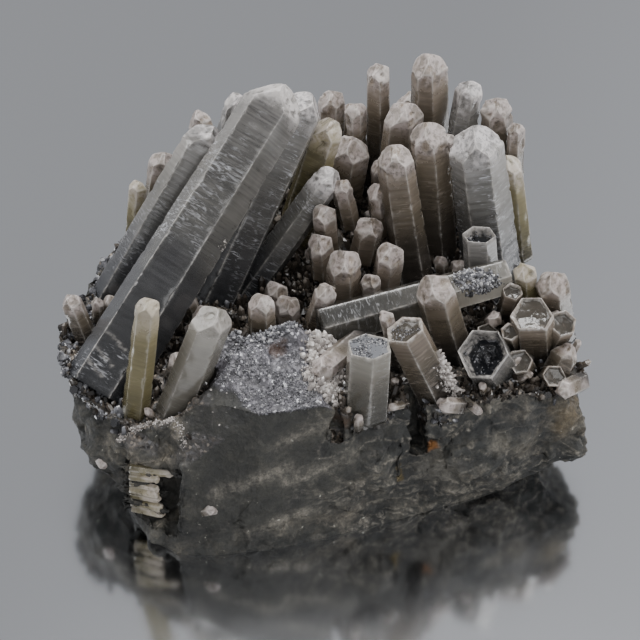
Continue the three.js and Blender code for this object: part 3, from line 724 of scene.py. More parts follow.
def veils_and_wear(node, read, shown, veiled):
    """The shares of veil and of pale wear: wisps where both their patterns are high, helped by
    the veins attribute, and edges with gaps."""
    feather = node("Math", (read["veins"], 0.07, shown["feather"]), operation="MULTIPLY_ADD")
    patch = node("Math", (read["veins"], 0.175, shown["patch"]), operation="MULTIPLY_ADD")
    wisp = node("Math", (node("MapRange", (feather, 0.53, 0.73)),
                         node("MapRange", (patch, 0.42, 0.642))), operation="MULTIPLY")
    wisp = node("Math", (wisp, veiled), operation="MULTIPLY", use_clamp=True)
    gaps = node("MapRange", (shown["flaw"], 0.34, 0.725))
    return wisp, node("Math", (read["edge"], gaps), operation="MULTIPLY")


def frosted_cap(node, read, shown, cap, body):
    """The cap's share, which thins out to specks at its border, and its colour, with darker blots
    and pits and pale rims."""
    blots = node("MapRange", (shown["blot"], 0.46, 0.585, 0.0, 0.7))
    spots = node("MapRange", (shown["speck"], 0.5, 0.643, 0.0, 0.65))
    rims = node("Math", (read["edge"], 0.5), operation="MULTIPLY")
    for share, coat in ((blots, body[1][1]), (spots, body[2][1]), (rims, "#cfc9c4")):
        cap = node("Mix", {0: share, 6: cap, 7: coat}, data_type="RGBA", out=2)
    patchy = -0.5175
    for part, weight in ((read["frost"], 1.15), (shown["speck"], 1.035)):
        patchy = node("Math", (part, weight, patchy), operation="MULTIPLY_ADD")
    return node("Math", (patchy, read["frost"]), operation="MULTIPLY"), cap


print("parts of a quartz finish: body, veils, worn edges and cap")


# %% A whole quartz finish
def quartz(name, body, cap, veil, hollow, clear, veiled, rough, swallow, density, streaks=1.0):
    """A quartz finish. body is the colour from the tip's underside to the root, hollow that of a
    broken end's hollow, near black on the dark finishes as painted shade, clear how much light passes,
    veiled how much of it the feathery veils take up, swallow and density what the depth absorbs, and
    streaks how much the cross lines show."""
    material, node = new_material(name)
    read = {label: node("Attribute", attribute_name=label, out="Fac")
            for label in ("deep", "edge", "face", "frost", "pit", "tone", "veins")}
    grain = node("Attribute", attribute_name="grain", out="Vector")
    shown = {}
    for label, (stretch, scale, detail, distortion) in QUARTZ_PATTERNS.items():
        moved = node("Mapping", {"Vector": grain, "Scale": stretch})
        shown[label] = node("TexNoise", {"Vector": moved, "Scale": scale, "Detail": detail,
                                         "Roughness": 0.6, "Distortion": distortion}, out="Fac")

    # a broken end's hollow takes the hollow colour, which on the dark finishes is painted shade
    hollow_tone_and_shade = node("Math", (read["pit"], 2.2), operation="MULTIPLY")
    wisp, worn = veils_and_wear(node, read, shown, veiled)
    capped, cap_colour = frosted_cap(node, read, shown, cap, body)
    colour = quartz_body(node, read, shown, body, streaks)
    for share, coat in ((hollow_tone_and_shade, hollow), (wisp, veil), (worn, "#b9b4ae"), (capped, cap_colour)):
        colour = node("Mix", {0: share, 6: colour, 7: coat}, data_type="RGBA", out=2)

    milky = wisp  # what is milky lets less light through
    for part, weight in ((read["frost"], 0.8), (worn, 0.7)):
        part = node("Math", (part, weight), operation="MULTIPLY")
        milky = node("Math", (milky, part), operation="MAXIMUM")
    through = node("Math", (milky, -clear, clear), operation="MULTIPLY_ADD")
    dull = rough - 0.06
    for part, weight in ((read["frost"], 0.22), (shown["speck"], 0.16)):
        dull = node("Math", (part, weight, dull), operation="MULTIPLY_ADD")
    pitted = node("Math", (read["frost"], shown["speck"]), operation="MULTIPLY")
    relief = 0.0
    for part, weight in ((shown["lines"], streaks), (pitted, 1.3), (shown["feather"], 0.35)):
        relief = node("Math", (part, weight, relief), operation="MULTIPLY_ADD")
    bump = node("Bump", {"Height": relief, "Strength": 0.8, "Distance": LINE_DEPTH * MM})
    skin = node("BsdfPrincipled", {"Base Color": colour, "Roughness": dull, "IOR": QUARTZ_IOR,
                                   "Transmission Weight": through, "Normal": bump})
    inside = node("VolumeAbsorption", {"Color": swallow, "Density": density})
    node("OutputMaterial", {"Surface": skin, "Volume": inside})
    return material


print("a quartz finish reads", len(QUARTZ_PATTERNS), "patterns; index of refraction", QUARTZ_IOR)


# %% The quartz finishes
QUARTZ = {
    # morion, dark smoky quartz with grown faces: glassy, grey, and nearly black at the root
    "smoky_quartz": quartz(
        "morion_smoky_quartz",
        [(0.1, "#807d7a"), (0.35, "#605e5a"), (0.65, "#464647"), (1.0, "#2c2d30")],
        # the near-black hollow colour is painted shade in a broken end
        cap="#bab5b4", veil="#a6a7ab", hollow="#17191e", clear=0.4, veiled=1.3, rough=0.18,
        swallow="#626262", density=70.0),
    # brown smoky quartz, the commonest of the thicket: warmer, with a thicker frosted cap
    "brown_quartz": quartz(
        "brown_smoky_quartz",
        [(0.1, "#85796d"), (0.35, "#61584b"), (0.65, "#3c3731"), (1.0, "#262423")],
        cap="#9f948f", veil="#a0958c", hollow="#443e35", clear=0.35, veiled=0.5, rough=0.2,
        swallow="#75634e", density=70.0, streaks=0.8),
    # smoky quartz with a tinge of iron, in thin crystals that light passes: olive to amber
    "amber_quartz": quartz(
        "amber_smoky_quartz",
        [(0.1, "#9a9180"), (0.35, "#857c5e"), (0.65, "#696246"), (1.0, "#443f30")],
        cap="#a69c8f", veil="#b3a98d", hollow="#443e35", clear=0.4, veiled=0.5, rough=0.18,
        swallow="#867543", density=60.0, streaks=0.5),
    # nearly clear rock crystal, broken and healed: bright, with white veils
    "pale_quartz": quartz(
        "pale_clear_quartz",
        [(0.1, "#908c83"), (0.35, "#767168"), (0.65, "#5a5750"), (1.0, "#413f3a")],
        cap="#918c87", veil="#c6c7ca", hollow="#85878c", clear=0.5, veiled=0.65, rough=0.12,
        swallow="#8d8f92", density=50.0, streaks=0.35),
}
print("quartz finishes:", sorted(QUARTZ))

# %% [markdown]
# ## How the large crystals differ
# All 43 crystals share one way of growing, but each has a character: a long or short cap, faces
# painted paler on the side that the light finds, a hollow end, cracks at the foot. A separate model of
# each would lose what they share, so each crystal takes the common settings, and the tables
# below say only what is different about it. Where a table doesn't name a crystal, chance decides.

# %% What is special about each crystal
BROKEN = {  # in mm, how deep the hollow is, how wide the lip and how ragged the floor; then the
    # share of the depth that slopes in to the middle
    "rim_silver_stub": (0.5, 0.3, 0.3, 0.3), "rim_olive_stub": (1.0, 0.4, 0.5, 0.5),
    "rim_dark_stub": (5.6, 0.25, 0.7, 0.75), "rim_right_stub": (1.1, 0.4, 0.55, 0.6),
    "right_broken_crystal": (4.6, 0.22, 0.8, 0.6), "fallen_bar_crystal": (0.8, 0.4, 0.5, 0.3),
}
FINE = {  # more points on the large crystals, and on three of them ridges across the column, in mm
    "great_crystal": dict(around=150, column_step=0.5, tip_step=0.2, sharp=80, terraces=0.06,
                          roughness=0.02, blunt=1.3),
    "right_great_crystal": dict(around=96, column_step=0.28, sharp=60, lines=0.07),
    "right_leaning_crystal": dict(around=84, column_step=0.3, sharp=50, lines=0.07),
    "right_tall_crystal": dict(around=84, column_step=0.3, sharp=50, lines=0.06),
}
CAP_SHARE = {  # the share of the crystal's length that its frosted cap takes up
    "great_crystal": 0.1, "great_companion": 0.16, "leaning_crystal": 0.22,
    "left_long_crystal": 0.08, "amber_crystal": 0.24, "blunt_crystal": 0.2,
}
LONGEST_CAP = 7.0  # mm
PAINTED_LIT_SIDE = {  # the side whose faces are painted paler, as painted light from that side: -1 left, 1 right, and 0 neither
    "great_crystal": -1, "left_long_crystal": -1, "right_great_crystal": 1,
    "fallen_bar_crystal": 0, "rim_silver_stub": 0, "blunt_crystal": 0,
}
RIGHT_PAINTED_LIGHT = 0.8  # how much the faces on the right of every other crystal are painted paler, as painted light from the right
TURNED = (0.3, 0.7)  # a face doesn't count as looking that way below the first, and fully above
TONES = {"right_great_crystal": 0.6, "blunt_crystal": 0.7, "amber_crystal": 0.6}  # from -1 to 1
LIGHTER = {  # how much paler the faces are, the share of the darkening, and an all-over frost
    "blunt_crystal": (0.15, 0.65, 0.22), "rim_silver_stub": (0.45, 0.9, 0.0),
    "fallen_bar_crystal": (-0.1, 1.3, 0.06), "rim_dark_stub": (-0.1, 0.9, 0.05),
    "right_great_crystal": (0.2, 0.85, 0.0),
}
GREAT_FOOT = [-45.8, -24.6, 31.6]  # mm: the great crystal's foot, which is veined and cracked
FOOT_CRACKS = [  # pale cracks across the great crystal near its foot, each a path in mm
    [(-43.6, -20.6, 35.5), (-41.7, -22.2, 34.5), (-39.3, -24.1, 32.8)],
    [(-45.4, -23.0, 33.0), (-43.7, -24.6, 31.9), (-42.0, -26.1, 30.6)],
    [(-46.9, -24.9, 31.2), (-45.4, -26.2, 30.1), (-44.0, -27.4, 29.1)],
]
print("crystals with a row in a table:", len({*BROKEN, *FINE, *CAP_SHARE, *PAINTED_LIT_SIDE, *TONES, *LIGHTER}))


# %% Give a skin its character
def mark(name, points, facing, extra):
    """Changes the attributes of one large crystal as the tables say, and paints the faces on a lit side
    paler as painted light.
    facing is the direction out of the surface, whose parts tell the right side, the front and the top."""
    right, front, top = facing[:, 0], -facing[:, 1], facing[:, 2]
    if name in PAINTED_LIT_SIDE:
        extra["face"] = 0.3 + 2.3 * smooth_step(0.45, 0.7, PAINTED_LIT_SIDE[name] * right)
    else:
        # painted light: faces that look right are made paler
        extra["face"] = extra["face"] + RIGHT_PAINTED_LIGHT * smooth_step(*TURNED, right)
    if name in LIGHTER:
        paler, darkening, frost = LIGHTER[name]
        extra["face"] = extra["face"] + paler
        extra["deep"] = extra["deep"] * darkening
        extra["frost"] = np.maximum(extra["frost"], frost * (1 - extra["pit"]))
    extra["veins"] = np.zeros(len(points))
    if name == "great_crystal":  # feathery in the upper half of its front; its right faces are painted lighter and the rest darker, as painted light and shade
        high = smooth_step(0.12, 0.3, extra["deep"]) * (1 - smooth_step(0.5, 0.62, extra["deep"]))
        foot = np.exp(-(np.linalg.norm(points - GREAT_FOOT, axis=1) / 4.0) ** 2)
        veins = (high + 1.2 * foot) * smooth_step(0.35, 0.55, top) - 0.5
        extra["veins"] = np.where(right > 0.35, -1.0, veins)
        extra["face"] += np.where(right > 0.35, 0.7, -0.35)
        extra["edge"] = np.maximum(extra["edge"], 1 - smooth_step(3, 9, extra["from_tip"]))
        for crack in FOOT_CRACKS:
            extra["edge"] = np.maximum(extra["edge"], 0.8 * near_line(points, crack, 0.3))
    if name == "amber_crystal":
        extra["frost"], extra["edge"] = 0.6 * extra["frost"], 0.6 * extra["edge"]
    if name == "fallen_bar_crystal":  # its front faces are painted paler and its top darker, as painted light and shade
        extra["face"] += 1.3 * smooth_step(*TURNED, front) - 0.6 * smooth_step(0.55, 0.8, top)
    if name in ("fallen_bar_crystal", "rim_silver_stub"):
        extra["edge"] = np.sqrt(extra["edge"])  # twice as wide


print("pale cracks at the great crystal's foot:", len(FOOT_CRACKS))

# %% Dress every single crystal
tone_of = np.random.default_rng(SEED)
crystals, skins = {}, {}
for salt, name in enumerate(sorted(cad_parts)):
    if name in ("matrix", "hollow_crystals"):
        continue
    crystal = read_crystal(name)
    crystals[name] = crystal
    tone = TONES.get(name, tone_of.uniform(-1, 1))
    if name in BROKEN:
        pit, rim, ragged, dish = BROKEN[name]
        points, triangles, extra = broken_surface(crystal, salt, pit=pit, rim=rim, ragged=ragged,
                                                  dish=dish)
    else:
        share = CAP_SHARE.get(name, 0.26 + 0.07 * tone)
        cap = min(share * np.linalg.norm(crystal["tip"] - crystal["foot"]), LONGEST_CAP)
        settings = {"blunt": 0.45 + 0.25 * tone} | FINE.get(name, {})
        points, triangles, extra = crystal_surface(crystal, salt, cap, **settings)
    mark(name, points, outward(points, triangles), extra)
    extra["tone"] = np.full(len(points), tone)
    skins[name] = points, triangles, extra
    piece = make_piece(name + "_skin", points, triangles, extra)
    place(piece, QUARTZ[slot_of[name]], slot_of[name], name)
print("crystals:", len(crystals), "triangles:", sum(len(skin[1]) for skin in skins.values()))

# %% [markdown]
# ## The small crystals of the solids
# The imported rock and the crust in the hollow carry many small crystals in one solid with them.
# They are found again by their points: a quartz tip is three faces that each lean 51.8 degrees
# from level, 120 degrees apart, so a corner where three such faces meet gives the axis. The sides
# are the upright faces round that axis. Each gets a skin like the large ones. Placing them by
# hand would be simpler, but they would then miss the solids that they cover.

# %% What makes a quartz tip
TIP_SLOPE = math.radians(51.8)
TIP_PAIR = math.cos(TIP_SLOPE) ** 2 - 0.5 * math.sin(TIP_SLOPE) ** 2  # n1.n2 of two tip faces


def corners_of(normals, distances):
    """The corners of the convex solid behind all faces: where three faces meet, if no other face
    cuts that point off."""
    n = len(normals)
    trios = np.array([(a, b, c) for a in range(n) for b in range(a + 1, n) for c in range(b + 1, n)])
    sets = normals[trios]
    meets = abs(np.linalg.det(sets)) > 0.02
    spots = np.linalg.solve(sets[meets], distances[trios[meets]][..., None])[..., 0]
    inside = (spots @ normals.T <= distances + 1e-3).all(axis=1)
    return spots[inside]


def tip_axis(around):
    """The axis of a tip and its three face normals, from the normals of the triangles that meet
    there, or nothing if they aren't a quartz tip. The axis a solves n.a = cos(slope) for each n."""
    faces = [around[0]]
    for n in around[1:]:
        if max(n @ m for m in faces) < 0.98:
            faces.append(n)
    if len(faces) != 3:
        return None
    pairs = [faces[0] @ faces[1], faces[1] @ faces[2], faces[0] @ faces[2]]
    if max(abs(p - TIP_PAIR) for p in pairs) > 0.012:
        return None
    axis = np.linalg.solve(np.array(faces), np.full(3, math.cos(TIP_SLOPE)))
    if abs(np.linalg.norm(axis) - 1) > 0.01 or axis[2] < 0.25:
        return None
    return axis / np.linalg.norm(axis), np.array(faces)


print("angle between two tip faces in degrees:", round(math.degrees(math.acos(TIP_PAIR)), 1))


# %% The crystal under a tip
NEAR_TIP, LONGEST_DOWN = 5.0, 9.0  # mm: how far from the axis and below the tip a side may be
SIDE_OFFSETS = (0.4, 4.2)  # mm: the least and largest distance of a side from the axis


def crystal_below(apex, axis, faces, normals, centres, offsets):
    """The whole small crystal under a tip, or nothing without a side. Each of six sides takes
    the nearest upright triangle that looks its way; a side that is hidden takes the middle of
    the others. The foot is a little below the lowest triangle found."""
    out = faces[0] - axis * (faces[0] @ axis)
    out /= np.linalg.norm(out)
    side = np.cross(axis, out)
    ways = [out * math.cos(k * math.pi / 3) + side * math.sin(k * math.pi / 3) for k in range(6)]
    below = (centres - apex) @ axis
    aside = np.linalg.norm(centres - apex - below[:, None] * axis, axis=1)
    reach = offsets - normals @ apex
    near = (aside < NEAR_TIP) & (below < 0.2) & (below > -LONGEST_DOWN)
    near &= (reach > SIDE_OFFSETS[0]) & (reach < SIDE_OFFSETS[1])
    reaches, lowest = [], 0.0
    for way in ways:
        fits = near & (normals @ way > 0.997)
        reaches.append(reach[fits].min() if fits.any() else np.nan)
        if fits.any():
            lowest = min(lowest, below[fits].min())
    if np.isnan(reaches).all():
        return None
    reaches = np.where(np.isnan(reaches), np.nanmedian(reaches), reaches)
    width = 2 * reaches.mean()
    depth = -lowest * 1.25 + 2.2
    planes = [np.append(-axis, -axis @ apex + depth)]  # the foot, then a side and a tip face in turn
    for k, way in enumerate(ways):
        planes.append(np.append(way, way @ apex + reaches[k]))
        slope = axis * math.cos(TIP_SLOPE) + way * math.sin(TIP_SLOPE)
        further = 0 if k % 2 == 0 else (0.1 + 0.12 * (k / 5)) * width
        planes.append(np.append(slope, slope @ apex + further))
    planes = np.array(planes)
    return {"normals": planes[:, :3], "distances": planes[:, 3],
            "column": np.arange(len(planes)) % 2 == 1, "corners": corners_of(planes[:, :3], planes[:, 3]),
            "foot": apex - axis * depth, "tip": apex, "axis": axis,
            "ground": apex + axis * lowest * 1.15, "width": width}


print("a side may lie", NEAR_TIP, "mm from the axis and", LONGEST_DOWN, "mm below the tip")


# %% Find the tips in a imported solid
def tips_in(points, triangles):
    """Crystals whose tips are corners of this solid, with their faces read from its triangles."""
    a, b, c = (points[triangles[:, k]] for k in range(3))
    normals = np.cross(b - a, c - a)
    areas = np.linalg.norm(normals, axis=1) / 2
    keep = areas > 1e-3
    triangles = triangles[keep]
    normals = normals[keep] / (2 * areas[keep, None])
    centres = (a + b + c)[keep] / 3
    offsets = (normals * centres).sum(axis=1)
    order = np.argsort(triangles.ravel(), kind="stable")
    owners, faces = triangles.ravel()[order], order // 3
    starts = np.searchsorted(owners, np.arange(len(points)))
    ends = np.searchsorted(owners, np.arange(len(points)), side="right")
    found = []
    for corner in np.flatnonzero(ends - starts >= 3):
        tip = tip_axis(normals[faces[starts[corner]:ends[corner]]])
        made = tip and crystal_below(points[corner], *tip, normals, centres, offsets)
        if made:
            found.append(made)
    return found


rock_points, rock_triangles = points_of(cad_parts["matrix"])
rock_crystals = tips_in(rock_points, rock_triangles)
hollow_row = tips_in(*points_of(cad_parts["hollow_crystals"]))
print("small crystals on the rock:", len(rock_crystals), "in the hollow:", len(hollow_row),
      "widths in mm:", [round(c["width"], 1) for c in rock_crystals[:8]])


# %% Give them skins, joined in one piece for each solid
def join(parts):
    """Several (points, triangles, attributes) in one, each keeping its own points."""
    shift = np.cumsum([0] + [len(p[0]) for p in parts[:-1]])
    points = np.concatenate([p[0] for p in parts])
    triangles = np.concatenate([p[1] + s for p, s in zip(parts, shift)])
    return points, triangles, {k: np.concatenate([p[2][k] for p in parts]) for k in parts[0][2]}


def small_skins(crystals, start, frosted=0.34, dark=1.0, **settings):
    """Skins of several crystals: frosted is the share of each that is, dark how dark its root."""
    parts = []
    for salt, crystal in enumerate(crystals, start):
        tone = tone_of.uniform(-1, 1)
        seen = np.linalg.norm(crystal["tip"] - crystal["ground"])
        points, triangles, extra = crystal_surface(crystal, salt, seen * (frosted + 0.1 * tone),
                                                   **settings)
        extra["deep"] = np.clip(extra["from_tip"] / (seen + 2), 0, 1) * dark
        # painted light: faces that look right are made paler
        extra["face"] += RIGHT_PAINTED_LIGHT * smooth_step(*TURNED, outward(points, triangles)[:, 0])
        extra["tone"] = np.full(len(points), tone)
        parts.append((points, triangles, extra))
    return join(parts)


hollow_piece = make_piece("hollow_crystal_skins", *small_skins(
    hollow_row, 200, frosted=0.52, dark=0.32, around=54, column_step=0.8, tip_step=0.24))
place(hollow_piece, QUARTZ["brown_quartz"], "brown_quartz", "hollow_crystals")
rock_skins = make_piece("rock_crystal_skins", *small_skins(
    rock_crystals, 300, around=30, column_step=1.0, tip_step=0.34, sharp=30, chips=1, growth=0.12))
place(rock_skins, QUARTZ["brown_quartz"], "brown_quartz")
print("triangles:", len(hollow_piece.data.polygons), len(rock_skins.data.polygons))

# %% [markdown]
# ## More crystals than the solids carry
# Between the large crystals stand dozens of slim ones of two or three millimetres, too many and
# too small for the solids. They are quartz like the rest, so they are built from the same planes:
# six upright sides, and six faces that lean to a point. One model turned and scaled would do,
# but then all their tips would be alike. The crust in the hollow is a low cushion with a lumpy
# top, so it is a flattened ball moved by noise.

# %% A crystal from its foot, tip and width
def grown_crystal(foot, tip, width, turn, salt, uneven=0.13):
    """The faces of a quartz crystal: six sides round the axis, each at its own distance, and six
    tip faces that lean by the tip slope, every second one a little further out."""
    pick = np.random.default_rng(SEED * 500 + salt)
    foot, tip = np.array(foot, float), np.array(tip, float)
    axis = (tip - foot) / np.linalg.norm(tip - foot)
    first = np.cross(axis, [0.3, 1, 0.1])
    first /= np.linalg.norm(first)
    second = np.cross(axis, first)
    angles = math.radians(turn) + np.arange(6) * math.pi / 3
    ways = np.cos(angles)[:, None] * first + np.sin(angles)[:, None] * second
    reach = width / 2 * (1 + uneven * pick.uniform(-1, 1, 6))
    slopes = axis * math.cos(TIP_SLOPE) + ways * math.sin(TIP_SLOPE)
    further = np.where(np.arange(6) % 2 == 0, 0.03, 0.1 + 0.1 * pick.random(6)) * width
    further[0] = 0
    normals = np.vstack([-axis, ways, slopes])
    distances = np.concatenate([[-axis @ foot], ways @ foot + reach, slopes @ tip + further])
    column = np.zeros(13, bool)
    column[1:7] = True
    return {"normals": normals, "distances": distances, "column": column, "ground": foot,
            "corners": corners_of(normals, distances), "foot": foot, "tip": tip, "axis": axis,
            "width": width}

shown = grown_crystal((0, 0, 0), (0, 0, 10), 3.0, 0, 0)
print("a grown crystal has", len(shown["normals"]), "faces and", len(shown["corners"]), "corners")

# %% The crust in the hollow
CRUST_MIDDLE, CRUST_SIZE = np.array([3.3, 2.85, 24.2]), np.array([34.0, 32.0, 5.0])  # mm
LUMP_SIZE = 3.2  # mm


def cushion(rings, around):
    """A flattened ball: sin and cos of two angles scaled by its half sizes, with lumps on it."""
    down = np.linspace(0, math.pi, rings + 2)[1:-1, None]
    round_it = np.linspace(0, 2 * math.pi, around, endpoint=False)[None]
    ball = np.stack([np.sin(down) * np.cos(round_it), np.sin(down) * np.sin(round_it),
                     -np.cos(down) * np.ones_like(round_it)], axis=-1)
    ball = np.concatenate([ball.reshape(-1, 3), [[0, 0, -1.0], [0, 0, 1.0]]])
    points = CRUST_MIDDLE + ball * CRUST_SIZE / 2
    lumps = 0.7 * noise(points, LUMP_SIZE, 71) + 0.35 * noise(points, 1.3, 72)
    return points + ball * lumps[:, None], ring_grid(rings, around)


crust_points, crust_triangles = cushion(70, 130)
crust_out = outward(crust_points, crust_triangles)
crust_piece = make_piece("hollow_crust", crust_points, crust_triangles, {
    "bowl": np.ones(len(crust_points)), "relief": noise(crust_points, LUMP_SIZE, 71)})
print("crust triangles:", len(crust_triangles))

# %% [markdown]
# ## The host rock
# The rock is a hard dark one that breaks like glass, in shallow shell-shaped scoops with sharp
# ridges between them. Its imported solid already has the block, the lumps, the chips and the
# pockets. Here its faces are divided into triangles of about a millimetre, and the points move
# in or out along the surface's own direction by scoops of several sizes and a fine grain. A
# Displace modifier could do as much, but the druse has to know where the surface ended up.

# %% Divide the solid's faces
FACE_EDGE = 0.93  # mm: no edge shorter than this is halved
LONG_EDGES = {"behind": 1.4, "under a small crystal": 2.5, "in a socket": 4.0, "beneath": 6.0}  # mm


def split_long(points, triangles, longest):
    """Halves every edge that is longer than longest(middle of the edge), and cuts each triangle
    into two, three or four by which of its edges were halved. Neighbours share the new points."""
    edges = np.sort(np.stack([triangles, np.roll(triangles, -1, axis=1)], axis=-1).reshape(-1, 2), 1)
    pairs, index = np.unique(edges, axis=0, return_inverse=True)
    middle = points[pairs].mean(axis=1)
    size = np.linalg.norm(points[pairs[:, 0]] - points[pairs[:, 1]], axis=1)
    cut = size > FACE_EDGE
    cut[cut] = size[cut] > longest(middle[cut])
    number = np.full(len(pairs), -1)
    number[cut] = len(points) + np.arange(cut.sum())
    halves = number[index.ravel()].reshape(-1, 3)  # on the edges 0-1, 1-2 and 2-0
    count = (halves >= 0).sum(axis=1)
    # turn each triangle so that its first halved edge comes first (the unhalved one last for two)
    turn = np.where(count == 2, (np.argmin(halves, axis=1) + 1) % 3, np.argmax(halves >= 0, axis=1))
    rows = np.arange(len(triangles))[:, None]
    order = (np.arange(3)[None] + turn[:, None]) % 3
    t, h = triangles[rows, order], halves[rows, order]
    a, b, c, ab, bc, ca = (*t.T, *h.T)
    pieces = {  # by how many edges were halved
        1: [(a, ab, c), (ab, b, c)],
        2: [(ab, b, bc), (a, ab, bc), (a, bc, c)],
        3: [(a, ab, ca), (ab, b, bc), (bc, c, ca), (ab, bc, ca)]}
    parts = [triangles[count == 0]]
    for halved, rows_of_three in pieces.items():
        parts += [np.stack(corners, axis=1)[count == halved] for corners in rows_of_three]
    return np.concatenate([points, middle[cut]]), np.concatenate(parts), int(cut.sum())


def depth_inside(points, crystal, growth=0.0):
    """How deep each point lies behind a crystal's faces, in mm; negative outside."""
    return (crystal["distances"] + growth - points @ crystal["normals"].T).min(axis=1)


def within(points, crystal, growth):
    """Which points lie inside a crystal that is grown a little. Only those in its box are tried."""
    low, high = crystal["corners"].min(axis=0) - growth, crystal["corners"].max(axis=0) + growth
    near = np.flatnonzero(((points > low) & (points < high)).all(axis=1))
    return near[depth_inside(points[near], crystal, growth) > 0]


def rock_edge(middle):
    """The longest edge allowed: short on what shows, longer behind, in sockets and beneath."""
    longest = np.where(middle[:, 1] > 8, LONG_EDGES["behind"], FACE_EDGE)
    for crystal in crystals.values():
        longest[within(middle, crystal, 0.35)] = LONG_EDGES["in a socket"]
    for crystal in rock_crystals:
        longest[within(middle, crystal, 0.06)] = LONG_EDGES["under a small crystal"]
    longest[middle[:, 2] < 0.01] = LONG_EDGES["beneath"]
    return longest


MOST_ROUNDS = 9

base, rock_faces = rock_points, rock_triangles
for step in range(MOST_ROUNDS):
    base, rock_faces, cuts = split_long(base, rock_faces, rock_edge)
    if cuts == 0:
        break
print("rock after", step, "rounds:", len(base), "points and", len(rock_faces), "triangles")

# %% Where the rock is what
rock_out = outward(base, rock_faces)
base = base.copy()

# the small crystals have skins of their own, so their copies in the rock are laid flat beneath
for crystal in rock_crystals:
    inside = within(base, crystal, 0.08)
    rise = (base[inside] - crystal["ground"]) @ crystal["axis"]
    base[inside] -= np.maximum(rise + 0.1, 0)[:, None] * crystal["axis"]

x, y, z = base.T
up = rock_out[:, 2]
shelf = (smooth_step(-25, -21, x) * (1 - smooth_step(2, 6, x)) * smooth_step(0.3, 0.6, up)
         * smooth_step(30, 33, z) * smooth_step(-46, -44, y))
front_face = (smooth_step(-29, -25, x) * (1 - smooth_step(4, 9, x))
              * smooth_step(0.5, 0.8, -rock_out[:, 1]) * smooth_step(2, 9, z))
# the left front corner of the shelf has no druse: the smooth scoop runs up over it
druse_side = (base[:, :2] - [-21.4, -36.8]) @ [0.567, 0.824] + 1.3 * noise(base, 2.5, 34)
bare = shelf * (1 - smooth_step(-0.4, 0.5, druse_side))
shelf, front_face = shelf - bare, np.maximum(front_face, bare)
bowl = smooth_step(0.25, 0.6, up) * smooth_step(19, 24, z) * (1 - shelf - bare)
print("share of the rock's points on the shelf, the front face and the bowl:",
      *[round(float(part.mean()), 2) for part in (shelf, front_face, bowl)])

# %% Break and roughen the surface
SCOOPS = [(12.0, 2.0, 31), (5.2, 1.35, 32), (2.1, 0.5, 33)]  # size and depth in mm, and salt
LARGE_SCOOP = 8.0  # mm: scoops above this size keep half their depth on the calm parts
SPLITS = [(6.5, 0.32, 36), (2.6, 0.3, 37)]  # size in mm, slope and salt
GRAIN = [(2.4, 0.2, 41), (0.9, 0.17, 42)]  # size and height in mm, and salt
FLAT_BELOW = 1.2  # mm above the sawn foot where the relief fades out
CREST = [(-17.5, -24.5, 36.5), (-12.0, -24.0, 37.5), (-6.5, -25.5, 37.5)]  # behind the shelf
CRACK = [(-17.0, -28.6, 36.5), (-12.5, -29.3, 36.5), (-8.0, -28.3, 36.5)]  # between both
LOBE = [(-40.7, -36.9, 19.5), (-38.1, -36.9, 23.0), (-34.0, -37.9, 26.5), (-29.9, -39.7, 28.1),
        (-27.3, -40.9, 27.1), (-27.2, -42.3, 23.9)]  # the rim of the lump over the niche

calm = 1 - 0.72 * front_face - 0.6 * shelf
moved = np.zeros(len(base))
for size, depth, salt in SCOOPS:
    warped = base + 0.22 * size * np.stack(
        [noise(base, size * 0.8, salt + 50 + k) for k in range(3)], axis=1)
    moved += depth * (np.minimum(scallops(warped, size, salt), 1.0) - 0.42) * (
        calm if size < LARGE_SCOOP else 0.45 + 0.55 * calm)
for size, slope, salt in SPLITS:
    moved += splits(base, size, salt) * slope * size * 0.5 * calm
for size, height, salt in GRAIN:
    moved += height * noise(base, size, salt) * (1 - 0.5 * front_face)
moved += 0.35 * bowl * (np.abs(noise(base, 1.7, 61)) - 0.3)
moved += 1.5 * near_line(base, CREST, 2.6) - 1.3 * near_line(base, CRACK, 0.9)
moved += 0.7 * near_line(base, LOBE, 1.6)
moved *= smooth_step(0.0, FLAT_BELOW, z)
rock = base + rock_out * moved[:, None]
rock[:, 2] = np.maximum(rock[:, 2], 0)
print("rock moved in mm: from", round(float(moved.min()), 2), "to", round(float(moved.max()), 2))

# %% The rock's mesh, and where its colours go
BANDS = [  # pale bands low on the front face, each along a path in mm
    [(-21.5, -46.6, 14.2), (-12.4, -45.3, 18.2), (-7.0, -44.3, 19.5)],
    [(-9.6, -43.5, 24.9), (0.8, -42.0, 29.0)],
    [(-7.1, -44.3, 16.2), (0.9, -43.0, 18.5), (6.0, -41.0, 21.0)],
    [(-16.7, -46.0, 4.0), (-2.8, -44.5, 7.8)],
]
NICHE_MIDDLE, NICHE_SIZE = [-33.0, -40.0, 11.5], [5.5, 6, 7.5]  # mm

# painted shade: the niche and the crack are darkened, and the bare scoop at the shelf's corner is darker
# rock
streak = sum(near_line(base, path, 1.5) for path in BANDS)
niche_shade = np.exp(-np.linalg.norm((base - NICHE_MIDDLE) / NICHE_SIZE, axis=1) ** 4)
shade_and_dark_scoop = np.maximum.reduce([niche_shade, near_line(base, CRACK, 1.0), 0.6 * bare])
rock_piece = make_piece("host_rock_broken", rock, rock_faces, {
    "shelf": shelf, "front_face": front_face, "bowl": bowl, "relief": moved, "streak": streak,
    "shade_and_dark_scoop": shade_and_dark_scoop})
print("rock triangles:", len(rock_piece.data.polygons))

# %% [markdown]
# ## The rock's colour
# It is a charcoal to olive-grey rock, dull where it is broken and darker on the big smooth scoop
# in front. Wavy paler bands of quartz run through its right half, and iron has left a few rusty
# spots. The shelf and the bowl are skinned with quartz grains too small to model, which glitter:
# there the colour, the gloss and the slope change from grain to grain. All of it is worked out
# from the place in the rock, as in a real stone, so nothing is stretched over a ridge.

